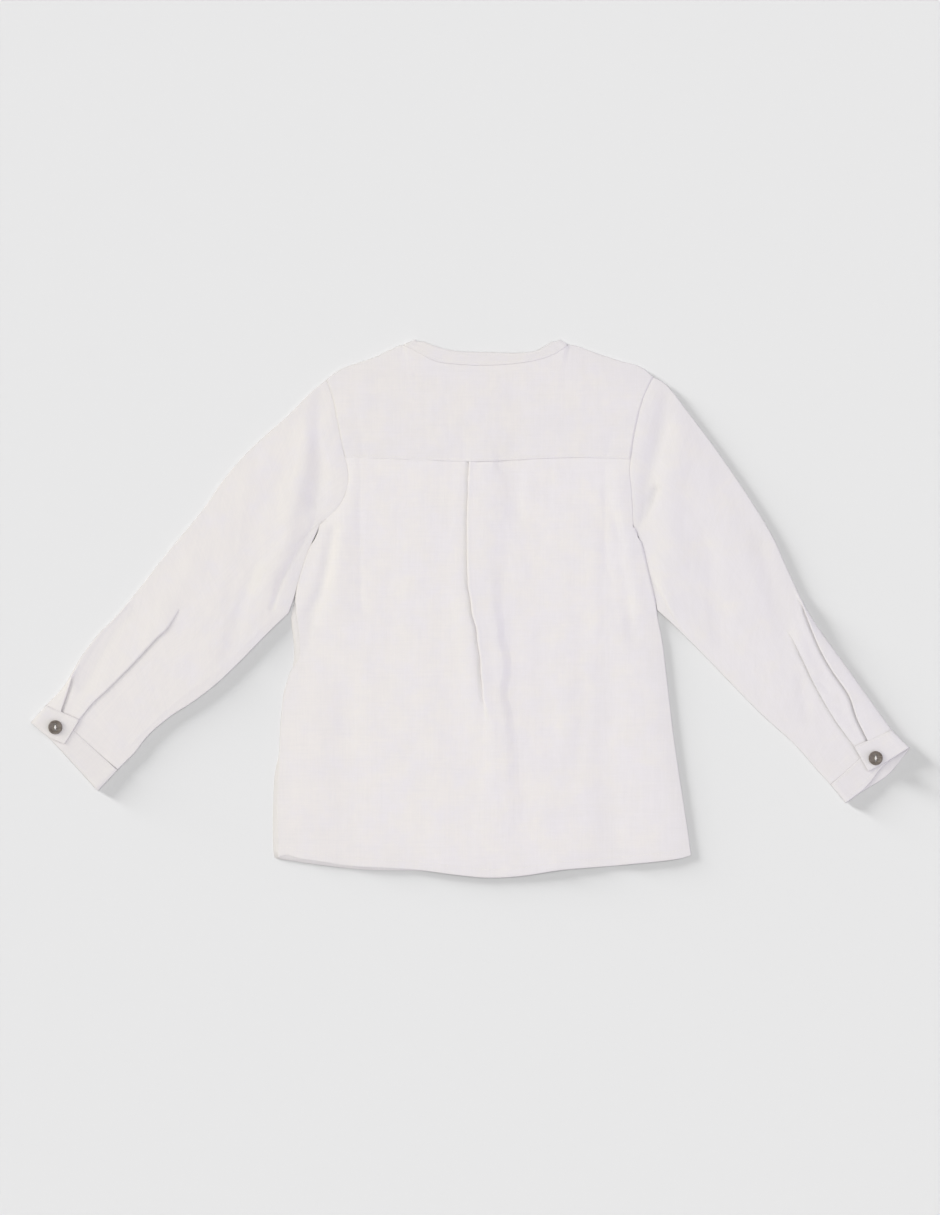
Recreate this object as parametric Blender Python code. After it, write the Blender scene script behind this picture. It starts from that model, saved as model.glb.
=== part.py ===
"""A child's long-sleeve shirt with a band collar, laid flat with its back up.

Every cut piece of cloth is a thin wall of its own: the back with its box pleat,
the yoke that wraps over the shoulders, the two fronts and their placket, the
collar band, the sleeves with their slits, and the cuffs with their buttons.

Lengths are in millimetres up to the point where a mesh is made. X runs to the
right over the back, Y from the hem to the collar and Z up from the surface that
the shirt lies on. The origin is on that surface, below the middle of the shirt.
"""

import math

import bmesh
import bpy
import numpy as np

MM = 0.001
CENTRE = (0.33, -0.07, 0.0)     # middle of the outline below, put on the origin

# Cloth and seams
WALL = 1.0              # one layer of cloth
BAND_WALL = 1.4         # cuffs and collar band, two layers sewn together
GAP = 0.3               # air between pieces that touch
SEAM = 0.6              # between the middles of two edges that a seam joins
LEVEL = WALL + GAP      # rise from one layer to the next one on it
FLOOR = WALL / 2        # middle of the layer that lies on the surface
TURN = 0.9              # bend radius where a tube of cloth folds flat
EDGE = FLOOR + TURN     # middle of that bend

# Loft of the flat shirt, to the middle of its upper layer
CROWN_BODY = 4.0
CROWN_YOKE = 4.2
SIDE_EDGE = FLOOR + LEVEL
HEM_EDGE = 2.3
ARMHOLE_TOP = 4.3
CROWN_SLEEVE = 5.0
CROWN_WRIST = 2.4
SOFTEN = 16.0           # how far in from an edge the cloth has risen
HEM_FADE = 20.0         # how far above the hem the back is still lower
FOLD_FADE = 8.0         # how far in from an edge a fold has its full height
INSET_FADE = 6.0        # how far in from an edge the cloth is still drawn in

# Outlines, x and y of each point, from the collar or shoulder downwards
SHOULDER_LEFT = [(-122.0, 193.8), (-117.0, 198.0), (-106.8, 204.1), (-94.7, 208.3),
                 (-80.2, 213.3), (-69.2, 218.7), (-57.0, 224.0)]
SHOULDER_RIGHT = [(83.6, 223.8), (91.0, 222.5), (103.4, 217.9), (124.7, 210.8),
                  (145.9, 204.4), (155.5, 196.3)]
NECK_SEAM = [(-56.5, 223.0), (-46.2, 218.1), (-36.5, 212.6), (-28.1, 209.1), (-7.3, 206.5),
             (17.0, 206.0), (39.7, 207.6), (60.9, 211.5), (73.7, 216.5), (83.0, 223.3)]
BAND_TOP = [(-46.2, 228.7), (-37.7, 225.3), (-25.5, 221.1), (-11.0, 218.1), (17.0, 217.1),
            (39.7, 216.5), (56.7, 218.6), (68.0, 225.0), (75.8, 228.9)]
YOKE_SEAM = [(-106.2, 128.3), (-59.5, 126.6), (-18.7, 125.0), (0.8, 124.5), (21.2, 125.0),
             (51.0, 126.6), (93.5, 127.9), (136.0, 126.6)]
YOKE_ARM_LEFT = [(-122.0, 193.8), (-116.5, 176.8), (-113.0, 159.8), (-109.6, 142.8), (-106.2, 128.3)]
YOKE_ARM_RIGHT = [(155.5, 196.3), (146.2, 175.1), (140.2, 151.3), (136.0, 126.6)]
BACK_ARM_LEFT = [(-106.2, 128.3), (-103.7, 117.3), (-103.7, 104.5), (-110.5, 87.5), (-125.8, 72.2)]
BACK_ARM_RIGHT = [(136.0, 126.6), (135.2, 115.6), (136.8, 100.3), (137.7, 83.3), (138.5, 68.0)]
BACK_SIDE_LEFT = [(-125.8, 72.2), (-134.3, 53.5), (-141.9, 32.3), (-147.5, 6.8), (-145.3, -27.2),
                  (-145.5, -42.0), (-152.2, -53.5), (-157.2, -69.7), (-160.7, -95.2),
                  (-162.0, -122.4), (-164.0, -163.2), (-163.2, -211.7)]
BACK_SIDE_RIGHT = [(138.5, 68.0), (143.7, 56.9), (149.6, 33.1), (157.2, 0.8), (163.2, -28.1),
                   (166.6, -55.2), (173.4, -112.2), (183.6, -180.2), (187.8, -209.9)]
FRONT_SIDE_LEFT = [(-125.8, 72.2), (-134.3, 53.5), (-141.9, 32.3), (-148.8, 6.8), (-152.2, -7.6),
                   (-149.6, -34.9), (-151.3, -52.7), (-158.1, -69.7), (-162.3, -122.4),
                   (-166.2, -141.9), (-167.4, -205.7), (-166.2, -212.5)]
BACK_HEM = [(-163.2, -211.7), (-155.1, -209.9), (-147.9, -212.5), (-130.9, -215.0),
            (-104.1, -219.0), (-42.5, -222.7), (-17.0, -226.1), (14.4, -229.1), (42.5, -227.8),
            (76.5, -222.7), (129.6, -218.3), (180.2, -212.5), (187.8, -209.9)]
FRONT_HEM_LEFT = [(-166.2, -212.5), (-130.0, -218.0), (-88.0, -222.5), (-42.5, -223.5), (0.5, -226.5)]
FRONT_HEM_RIGHT = [(25.5, -226.5), (76.5, -221.0), (129.6, -216.5), (187.8, -209.0)]

# The fronts are hidden: a plain front neck, armholes a little deeper, a straight placket
FRONT_NECK_LEFT = [(-56.5, 223.0), (-54.5, 205.0), (-45.0, 183.0), (-24.0, 165.0), (0.5, 158.5)]
FRONT_NECK_RIGHT = [(83.0, 223.3), (81.0, 205.0), (71.0, 183.0), (50.0, 165.0), (25.5, 158.5)]
FRONT_YOKE_SEAM_LEFT = [(-110.0, 177.0), (-82.0, 196.0), (-54.5, 205.0)]
FRONT_YOKE_SEAM_RIGHT = [(141.0, 179.0), (110.0, 196.0), (81.0, 205.0)]
FRONT_ARM_LEFT = [(-110.0, 177.0), (-104.0, 155.0), (-100.0, 130.0), (-100.5, 108.0), (-107.0, 91.0),
                  (-116.0, 80.5), (-125.8, 72.2)]
FRONT_ARM_RIGHT = [(141.0, 179.0), (131.0, 157.0), (125.0, 130.0), (125.0, 108.0), (129.0, 90.0),
                   (133.5, 79.0), (138.5, 68.0)]
PLACKET_LEFT = 0.5
PLACKET_RIGHT = 25.5

# Sleeves, from the armhole to the cuff seam
LEFT_OUTER = [(-122.0, 193.8), (-136.0, 182.2), (-153.0, 164.9), (-187.0, 134.3), (-209.3, 108.8),
              (-226.3, 84.3), (-259.2, 44.2), (-279.3, 18.4), (-302.3, -9.0), (-315.7, -22.4),
              (-330.3, -41.6), (-344.8, -66.0), (-360.1, -82.8)]
LEFT_UNDERARM = [(-125.8, 72.2), (-134.3, 53.5), (-141.9, 32.3), (-149.6, 6.8), (-153.8, -4.2)]
LEFT_INNER = [(-153.8, -4.2), (-167.9, -17.4), (-212.5, -61.8), (-236.8, -80.7), (-253.8, -91.5),
              (-273.2, -108.0), (-285.3, -123.2), (-299.0, -136.8)]
RIGHT_OUTER = [(155.5, 196.3), (165.8, 190.4), (187.0, 164.0), (215.3, 125.8), (243.7, 83.3),
               (257.8, 59.2), (269.2, 33.7), (287.8, -4.2), (321.8, -52.7), (358.2, -103.7)]
RIGHT_UNDERARM = [(138.5, 68.0), (143.7, 56.9), (149.6, 33.1), (158.7, -1.7)]
RIGHT_INNER = [(158.7, -1.7), (172.8, -14.4), (201.2, -42.8), (246.5, -89.2), (276.8, -117.0),
               (295.0, -137.7), (306.0, -149.5)]

# Where each slit and each cuff pleat runs: share of the sleeve's length, distance
# from the outer fold, how far open or folded it is, and for the pleat its rise
SLITS = {
    "left": [dict(along=0.52, out=44.0, open=0.0), dict(along=0.66, out=46.0, open=0.0),
             dict(along=0.76, out=43.0, open=1.0), dict(along=0.88, out=36.0, open=1.0),
             dict(along=1.00, out=31.0, open=1.0)],
    "right": [dict(along=0.52, out=30.0, open=0.0), dict(along=0.66, out=31.0, open=0.0),
              dict(along=0.74, out=33.0, open=1.0), dict(along=0.88, out=35.0, open=1.0),
              dict(along=1.00, out=35.0, open=1.0)],
}
PLEATS = {
    "left": [dict(along=0.66, out=12.5, fold=0.0, rise=0.0), dict(along=0.78, out=12.5, fold=0.0, rise=2.6),
             dict(along=0.86, out=12.5, fold=0.0, rise=2.6), dict(along=0.95, out=12.5, fold=1.0, rise=2.6),
             dict(along=1.00, out=12.5, fold=1.0, rise=2.6)],
    "right": [dict(along=0.46, out=13.0, fold=0.0, rise=0.0), dict(along=0.58, out=13.0, fold=0.0, rise=2.6),
              dict(along=0.66, out=14.0, fold=0.0, rise=2.6), dict(along=0.78, out=16.0, fold=1.0, rise=2.6),
              dict(along=1.00, out=21.0, fold=1.0, rise=2.6)],
}
SLIT_LAP = 6.0          # how far the inner flap reaches under the outer one
PLEAT_DEPTH = 3.0       # how far a fold goes under its edge
TAB_LENGTH = 31.0       # of the cuff's loose tab, along the cuff
CUFF_LENGTH = 80.0      # of the flat cuff, from fold to fold

# Box pleat of the back: y, x of its two edges, how far each is folded under, its rise
BOX_PLEAT = [
    dict(y=125.0, left=-0.4, right=21.2, left_fold=1.0, right_fold=1.0, rise=2.6),
    dict(y=104.0, left=-0.8, right=22.5, left_fold=1.0, right_fold=0.6, rise=2.6),
    dict(y=62.0, left=-2.1, right=27.5, left_fold=1.0, right_fold=0.0, rise=2.6),
    dict(y=22.0, left=-0.8, right=28.5, left_fold=1.0, right_fold=0.0, rise=2.6),
    dict(y=-27.0, left=6.8, right=29.5, left_fold=1.0, right_fold=0.0, rise=2.6),
    dict(y=-73.0, left=10.0, right=30.5, left_fold=1.0, right_fold=0.0, rise=2.6),
    dict(y=-95.0, left=16.0, right=33.0, left_fold=0.0, right_fold=0.0, rise=2.2),
    dict(y=-150.0, left=17.0, right=35.0, left_fold=0.0, right_fold=0.0, rise=1.4),
    dict(y=-190.0, left=16.0, right=33.0, left_fold=0.0, right_fold=0.0, rise=0.4),
    dict(y=-230.0, left=15.0, right=33.0, left_fold=0.0, right_fold=0.0, rise=0.0),
]
PLEAT_SHARE = 0.48      # where it runs, as a share of the back's width
PLEAT_TOP = (10.4, 124.5)       # the middle of its upper end
PLEAT_LIFT = 1.6        # how much it lifts the yoke there
SEAM_LIFT = 0.6         # how much the seam allowance lifts the yoke along its seam

# Soft folds: a ridge or trough along a line, its half width and its height
BODY_FOLDS = [
    dict(line=[(-4.0, 10.0), (2.0, -40.0), (8.0, -105.0)], width=11.0, height=0.9),
    dict(line=[(-104.0, 118.0), (-112.0, 60.0), (-116.0, 0.0)], width=13.0, height=1.3),
    dict(line=[(127.0, 112.0), (132.0, 60.0), (143.0, 0.0)], width=11.0, height=1.3),
    dict(line=[(-108.0, -80.0), (-110.0, -205.0)], width=16.0, height=-0.8),
    dict(line=[(114.0, -50.0), (116.0, -205.0)], width=14.0, height=-0.9),
]
LEFT_FOLDS = [
    dict(line=[(-127.0, 180.0), (-130.0, 150.0), (-128.0, 115.0), (-133.0, 88.0)], width=7.0, height=-1.9),
    dict(line=[(-134.0, 150.0), (-150.0, 90.0), (-157.0, 50.0), (-172.0, 22.0)], width=10.0, height=1.8),
    dict(line=[(-133.0, 74.0), (-146.6, 49.0), (-157.0, 24.0), (-166.0, 2.0)], width=5.0, height=-1.8),
    dict(line=[(-182.8, 34.9), (-197.6, -8.0), (-205.0, -40.0)], width=7.0, height=-1.0),
    dict(line=[(-290.0, -0.5), (-324.0, -52.7), (-334.0, -68.5)], width=7.0, height=-1.2),
]
RIGHT_FOLDS = [
    dict(line=[(167.0, 178.0), (161.0, 148.8), (153.0, 115.6), (146.0, 83.3)], width=8.0, height=-2.2),
    dict(line=[(178.0, 140.0), (168.0, 90.0), (172.0, 40.0)], width=12.0, height=1.2),
    dict(line=[(199.8, 57.8), (212.5, -27.2)], width=9.0, height=-0.9),
    dict(line=[(246.5, 53.6), (267.8, -18.7)], width=9.0, height=-0.9),
]

# Cuffs: corners of the flat cuff, then the loose tab that buttons over it
CUFFS = {
    "left": dict(seam=[(-360.1, -82.8), (-299.6, -137.6)], tab_seam=[(-360.1, -82.8), (-331.5, -94.6)],
                 lap_edge=[(-372.8, -97.0), (-357.0, -111.0), (-316.3, -155.0)],
                 under_edge=[(-372.8, -97.0), (-357.0, -111.5), (-316.3, -155.4)],
                 tab_edge=[(-372.8, -97.0), (-366.0, -103.0), (-357.6, -109.7), (-344.2, -115.5)],
                 button=(-351.8, -101.2)),
    "right": dict(seam=[(358.2, -103.7), (306.4, -150.1)], tab_seam=[(358.2, -103.7), (326.1, -117.6)],
                  lap_edge=[(373.0, -119.0), (351.0, -134.0), (336.4, -152.2), (319.3, -165.4)],
                  under_edge=[(373.4, -119.5), (354.5, -142.5), (336.4, -153.9), (319.3, -165.8)],
                  tab_edge=[(373.4, -118.2), (355.8, -129.2), (338.2, -138.9)],
                  button=(344.2, -127.4)),
}

# Two-hole button
BUTTON_RADIUS = 6.0
BUTTON_THICK = 2.2
BUTTON_DISH = 0.7
BUTTON_RIM = 1.5
HOLE_RADIUS = 1.0
HOLE_OFFSET = 2.1
BUTTON_SIDES = 28

CLOTH_COLOUR = (0.83, 0.80, 0.78, 1.0)
BUTTON_COLOUR = (0.13, 0.10, 0.075, 1.0)


def smooth(points):
    """Many points of a smooth curve through a few given ones."""
    given = np.array(points, float)
    gaps = np.sqrt(np.linalg.norm(np.diff(given, axis=0), axis=1))
    knots = np.concatenate([[0.0], np.cumsum(gaps)])
    slopes = np.gradient(given, knots, axis=0)
    fine = np.linspace(0.0, knots[-1], 30 * len(given))
    i = np.clip(np.searchsorted(knots, fine, side="right") - 1, 0, len(given) - 2)
    span = (knots[i + 1] - knots[i])[:, None]
    t = (fine - knots[i])[:, None] / span
    return (given[i] * (2 * t**3 - 3 * t**2 + 1) + given[i + 1] * (3 * t**2 - 2 * t**3)
            + slopes[i] * span * (t**3 - 2 * t**2 + t) + slopes[i + 1] * span * (t**3 - t**2))


class Line:
    """Smooth curves end to end, read by a share that runs from 0 to 1.

    Inside each curve the share grows with the length. Where one curve meets the
    next there may be a corner, and it is met at the share that shares names.
    """

    def __init__(self, *curves, shares=(0.0, 1.0)):
        points, run = [], []
        for curve, start, stop in zip(curves, shares, shares[1:]):
            fine = smooth(curve)
            length = np.concatenate([[0.0], np.cumsum(np.linalg.norm(np.diff(fine, axis=0), axis=1))])
            points.append(fine)
            run.append(start + (stop - start) * length / length[-1])
        self.points = np.vstack(points)
        self.run = np.concatenate(run)

    def at(self, share):
        return np.stack([np.interp(share, self.run, axis) for axis in self.points.T], axis=-1)


def nearest(xy, line):
    """Distance from points to a line, and the line's unit normal at the nearest place."""
    keep = np.concatenate([[True], np.linalg.norm(np.diff(line.points, axis=0), axis=1) > 1e-6])
    points = line.points[keep]
    a, way = points[:-1], np.diff(points, axis=0)
    rel = xy.reshape(-1, 1, 2) - a
    t = np.clip((rel * way).sum(-1) / (way**2).sum(-1), 0.0, 1.0)
    away = np.linalg.norm(rel - t[..., None] * way, axis=-1)
    best = away.argmin(axis=1)
    unit = way[best] / np.linalg.norm(way[best], axis=-1, keepdims=True)
    normal = np.column_stack([-unit[:, 1], unit[:, 0]])
    return away.min(axis=1).reshape(xy.shape[:-1]), normal.reshape(xy.shape)


def patch(first, last, start, end):
    """Points of a Coons patch: u runs along first and last, s from first to last."""

    def point(u, s):
        u, s = np.broadcast_arrays(np.asarray(u, float), np.asarray(s, float))
        a, b = u[..., None], s[..., None]
        corners = ((1 - a) * (1 - b) * start.at(0.0) + (1 - a) * b * start.at(1.0)
                   + a * (1 - b) * end.at(0.0) + a * b * end.at(1.0))
        return ((1 - b) * first.at(u) + b * last.at(u) + (1 - a) * start.at(s) + a * end.at(s) - corners)

    return point


def column(table, key, at, by):
    """One column of a table, read smoothly at other values of the column named by."""
    rows = sorted(table, key=lambda row: row[by])
    known = np.array([row[by] for row in rows])
    values = np.array([row[key] for row in rows])
    i = np.clip(np.searchsorted(known, at) - 1, 0, len(rows) - 2)
    t = np.clip((at - known[i]) / (known[i + 1] - known[i]), 0.0, 1.0)
    return values[i] + (values[i + 1] - values[i]) * t * t * (3 - 2 * t)


def fold_height(folds, xy):
    """Height that soft folds add: a bell across each line, fading past its ends."""
    total = np.zeros(xy.shape[:-1])
    for fold in folds:
        away, _ = nearest(xy, Line(fold["line"]))
        total += fold["height"] * np.exp(-((away / fold["width"]) ** 2))
    return total


def rolled_step(edge, fold, rise, toward, reach=(8.0, 8.0)):
    """Eight points across a fold: offsets in x and levels from the lower to the upper layer.

    Folded, the cloth runs under the edge, turns back and turns over it again.
    Open, the same points lie on one soft slope that reaches so far to each side.
    toward is +1 where the upper layer lies on the side of larger x.
    """
    turn = rise / 4
    depth = PLEAT_DEPTH
    shut_x = np.array([-2.5, depth, depth + turn, depth, 0.0, -turn, 0.0, 2.5])
    shut_z = np.array([0.0, 0.0, 0.25, 0.5, 0.5, 0.75, 1.0, 1.0])
    share = np.linspace(0.0, 1.0, 8)
    open_x = -reach[0] + (reach[0] + reach[1]) * share
    open_z = share**2 * (3 - 2 * share)
    x = edge + toward * (shut_x * fold + open_x * (1 - fold))
    z = rise * (shut_z * fold + open_z * (1 - fold))
    return (x, z) if toward > 0 else (x[::-1], z[::-1])


def draw_in(grid, side, distance):
    """Move one edge of a grid squarely towards the inside."""
    if side in ("left", "right"):
        grid = grid.transpose(1, 0, 2)
    edge, inner = (grid[0], grid[1]) if side in ("first", "left") else (grid[-1], grid[-2])
    chord = (edge[-1] - edge[0])[:2]
    way = np.gradient(edge[:, :2], axis=0) + 0.001 * chord
    normal = np.column_stack([-way[:, 1], way[:, 0]])
    normal /= np.linalg.norm(normal, axis=1, keepdims=True)
    sense = np.sign(((inner - edge)[:, :2] * normal).sum(axis=1))
    edge[:, :2] += normal * (sense * distance)[:, None]


def loft(from_a, from_b, crown):
    """Height of the upper layer of a flat tube, by the distances from its two folds."""
    near = np.minimum(from_a, from_b)
    bend = EDGE + TURN * np.sqrt(1 - (1 - np.clip(near / TURN, 0, 1)) ** 2)
    soft = (1 - np.exp(-np.clip(from_a - TURN, 0, None) / SOFTEN)) \
        * (1 - np.exp(-np.clip(from_b - TURN, 0, None) / SOFTEN))
    return bend + (crown - EDGE - TURN) * soft


def material(name, colour, roughness):
    made = bpy.data.materials.new(name)
    made.use_nodes = True
    shader = made.node_tree.nodes["Principled BSDF"]
    shader.inputs["Base Color"].default_value = colour
    shader.inputs["Roughness"].default_value = roughness
    shader.inputs["Metallic"].default_value = 0.0
    return made


def cloth(name, grids, wall):
    """Join grids of points in millimetres into one sheet and give it its wall."""
    mesh = bpy.data.meshes.new(name)
    work = bmesh.new()
    for grid in grids:
        rows, cols = grid.shape[:2]
        made = [[work.verts.new((grid[r, c] - CENTRE) * MM) for c in range(cols)] for r in range(rows)]
        for r in range(rows - 1):
            for c in range(cols - 1):
                work.faces.new((made[r][c], made[r + 1][c], made[r + 1][c + 1], made[r][c + 1]))
    bmesh.ops.remove_doubles(work, verts=work.verts, dist=0.02 * MM)
    bmesh.ops.recalc_face_normals(work, faces=work.faces)
    work.to_mesh(mesh)
    work.free()
    piece = bpy.data.objects.new(name, mesh)
    bpy.context.collection.objects.link(piece)
    mesh.materials.append(material(name, CLOTH_COLOUR, 0.9))
    mesh.shade_smooth()
    solid = piece.modifiers.new("Wall", "SOLIDIFY")
    solid.thickness = wall * MM
    solid.offset = 0.0
    solid.use_even_offset = True
    solid.use_quality_normals = True
    return piece


def armhole_height(xy, shoulder, armpit):
    """Height of the seam between body and sleeve, low at the shoulder and the armpit."""
    from_shoulder = np.linalg.norm(xy - np.array(shoulder), axis=-1)
    from_armpit = np.linalg.norm(xy - np.array(armpit), axis=-1)
    return loft(from_shoulder, from_armpit, ARMHOLE_TOP)


def body_height(xy, left_z, right_z, crown):
    """The crown of the body, lowered softly towards its two sides."""
    from_left = xy[..., 0] - xy[:, :1, 0]
    from_right = xy[:, -1:, 0] - xy[..., 0]
    return crown - (crown - left_z) * np.exp(-from_left / SOFTEN) \
        - (crown - right_z) * np.exp(-from_right / SOFTEN)


def make_back():
    """The back below the yoke, with its box pleat and a soft curve in its hem."""
    armpit = 0.2
    left = Line(BACK_ARM_LEFT, BACK_SIDE_LEFT, shares=(0.0, armpit, 1.0))
    right = Line(BACK_ARM_RIGHT, BACK_SIDE_RIGHT, shares=(0.0, armpit, 1.0))
    surface = patch(left, right, Line(YOKE_SEAM), Line(BACK_HEM))
    u = np.concatenate([np.linspace(0.0, armpit, 8), np.linspace(armpit, 0.92, 13)[1:], [0.97, 1.0]])
    ends = surface(u[:, None], np.array([[0.0, 1.0]]))
    x_left, x_right = ends[:, 0, 0], ends[:, 1, 0]
    y_middle = surface(u, PLEAT_SHARE)[:, 1]
    pleat = {key: column(BOX_PLEAT, key, y_middle, "y")
             for key in ("left", "right", "left_fold", "right_fold", "rise")}

    outer = np.array([0.0, 0.02, 0.08, 0.2, 0.36, 0.54, 0.72, 0.88])
    rows = []
    for r in range(len(u)):
        first_x, first_z = rolled_step(pleat["left"][r], pleat["left_fold"][r], pleat["rise"][r], 1)
        last_x, last_z = rolled_step(pleat["right"][r], pleat["right_fold"][r], pleat["rise"][r], -1)
        before = x_left[r] + (first_x[0] - x_left[r]) * outer
        after = x_right[r] + (last_x[-1] - x_right[r]) * outer[::-1]
        x = np.concatenate([before, first_x, [(first_x[-1] + last_x[0]) / 2], last_x, after])
        level = np.zeros(len(outer))
        extra = np.concatenate([level, first_z, [pleat["rise"][r]], last_z, level])
        rows.append(np.stack([x, extra], axis=-1))
    rows = np.array(rows)
    s = (rows[..., 0] - x_left[:, None]) / (x_right - x_left)[:, None]
    xy = surface(u[:, None], s)
    xy[..., 0] = rows[..., 0]

    arm = (u < armpit)[:, None]
    left_z = np.where(arm, armhole_height(ends[:, :1], SHOULDER_LEFT[0], BACK_SIDE_LEFT[0]), SIDE_EDGE)
    right_z = np.where(arm, armhole_height(ends[:, 1:], SHOULDER_RIGHT[-1], BACK_SIDE_RIGHT[0]), SIDE_EDGE)
    hem = np.exp(-np.abs(xy[..., 1] - ends[-1, 0, 1]).clip(0) / HEM_FADE)
    crown = CROWN_BODY - (CROWN_BODY - HEM_EDGE) * hem
    from_edge = np.minimum(xy[..., 0] - x_left[:, None], x_right[:, None] - xy[..., 0])
    z = body_height(xy, left_z, right_z, crown) + rows[..., 1]
    z = z + fold_height(BODY_FOLDS, xy) * (1 - np.exp(-from_edge / FOLD_FADE))
    grid = np.dstack([xy, np.maximum(z, SIDE_EDGE)])
    for edge in ("first", "left", "right"):
        draw_in(grid, edge, SEAM / 2)
    return cloth("back_panel", [grid], WALL)


def make_yoke():
    """The yoke: over the upper back, folded over each shoulder and a little way under."""
    neck_start, neck_stop = 0.27, 0.73
    top = Line(SHOULDER_LEFT, NECK_SEAM, SHOULDER_RIGHT, shares=(0.0, neck_start, neck_stop, 1.0))
    surface = patch(Line(YOKE_ARM_LEFT), Line(YOKE_ARM_RIGHT), top, Line(YOKE_SEAM))
    s = np.concatenate([[0.0, 0.012], np.linspace(0.0, neck_start, 7)[1:],
                        np.linspace(neck_start, neck_stop, 14)[1:], np.linspace(neck_stop, 1.0, 7)[1:-1],
                        [0.988, 1.0]])
    u = np.array([0.0, 0.012, 0.035, 0.09, 0.2, 0.35, 0.5, 0.65, 0.8, 0.92, 1.0])
    xy = surface(u[:, None], s[None, :])
    shoulder = (s < neck_start + 1e-6) | (s > neck_stop - 1e-6)
    below = np.abs(xy[0:1, :, 1] - xy[..., 1])
    left_z = armhole_height(xy[:, :1], SHOULDER_LEFT[0], BACK_SIDE_LEFT[0])
    right_z = armhole_height(xy[:, -1:], SHOULDER_RIGHT[-1], BACK_SIDE_RIGHT[0])
    z = body_height(xy, left_z, right_z, CROWN_YOKE - 0.4 * np.exp(-below / 20.0))
    beside, above = xy[..., 0] - PLEAT_TOP[0], xy[..., 1] - PLEAT_TOP[1]
    over_pleat = np.exp(-((beside / 20.0) ** 2)) * np.exp(-((above / 14.0) ** 2))
    near_seam = np.exp(-np.abs(above - 2.0) / 10.0)
    z = z + SEAM_LIFT * near_seam + PLEAT_LIFT * over_pleat
    bend = EDGE + TURN * np.sqrt(1 - (1 - np.clip(below / TURN, 0, 1)) ** 2)
    low = bend + (z - EDGE - TURN) * (1 - np.exp(-np.clip(below - TURN, 0, None) / 12.0))
    z = np.where(shoulder[None, :], low, z)
    grid = np.dstack([xy, z])

    # The bend over each shoulder goes on as a flap on the surface below
    sheets = [grid]
    for pick, seam in ((s < neck_start + 1e-6, FRONT_YOKE_SEAM_LEFT),
                       (s > neck_stop - 1e-6, FRONT_YOKE_SEAM_RIGHT[::-1])):
        edge = grid[0, pick]
        inner = Line(seam).at(np.linspace(0.0, 1.0, pick.sum()))
        length = np.linalg.norm(inner - edge[:, :2], axis=-1)
        ways = (inner - edge[:, :2]) / length[:, None]
        lines = [edge]
        for distance in (0.3 * TURN, TURN, 4.0, length - SEAM / 2):
            run = np.broadcast_to(distance, length.shape)
            drop = TURN * np.sqrt(1 - (1 - np.clip(run / TURN, 0, 1)) ** 2)
            lines.append(np.column_stack([edge[:, :2] + ways * run[:, None], edge[:, 2] - drop]))
        sheets.append(np.array(lines))

    # The folded edges stand half a wall inside the outline, and seams have their gaps
    for sheet in sheets:
        sheet[..., 1] -= WALL / 2 * np.exp(-np.abs(sheet[:1, :, 1] - sheet[..., 1]) / INSET_FADE)
    draw_in(grid, "last", SEAM / 2)
    for sheet in (grid, sheets[1]):
        sheet[:, 0, 0] += SEAM / 2
    for sheet in (grid, sheets[2]):
        sheet[:, -1, 0] -= SEAM / 2
    sheets[1][1:, -1, 0] -= SEAM / 2
    sheets[2][1:, 0, 0] += SEAM / 2
    return cloth("yoke", sheets, WALL)


def make_front(name, neck, yoke_seam, arm, side, hem, placket_x):
    """One front, flat on the surface below, from its shoulder seam to its hem."""
    inner = Line([neck[-1], hem[-1]])
    outer = Line(arm, side, shares=(0.0, 0.32, 1.0))
    neck_line = [point for point in neck if point[1] <= yoke_seam[-1][1]]
    top = Line(yoke_seam, neck_line, shares=(0.0, 0.4, 1.0))
    surface = patch(outer, inner, top, Line(hem))
    u = np.concatenate([np.linspace(0.0, 0.32, 12), np.linspace(0.32, 1.0, 10)[1:]])
    s = np.concatenate([np.linspace(0.0, 0.4, 4), np.linspace(0.4, 1.0, 6)[1:]])
    xy = surface(u[:, None], s[None, :])
    grid = np.dstack([xy, np.full(xy.shape[:2], FLOOR)])
    draw_in(grid, "first", SEAM / 2)
    draw_in(grid, "left", SEAM / 2)
    grid[:, -1, 0] = placket_x
    return cloth(name, [grid], WALL)


def make_placket():
    """A straight strip between the two fronts, from the collar band to the hem."""
    x = np.linspace(PLACKET_LEFT + GAP, PLACKET_RIGHT - GAP, 4)
    y = np.linspace(158.0, -226.0, 14)
    grid = np.array([[(a, b, FLOOR) for a in x] for b in y])
    return cloth("front_placket", [grid], WALL)


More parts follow.
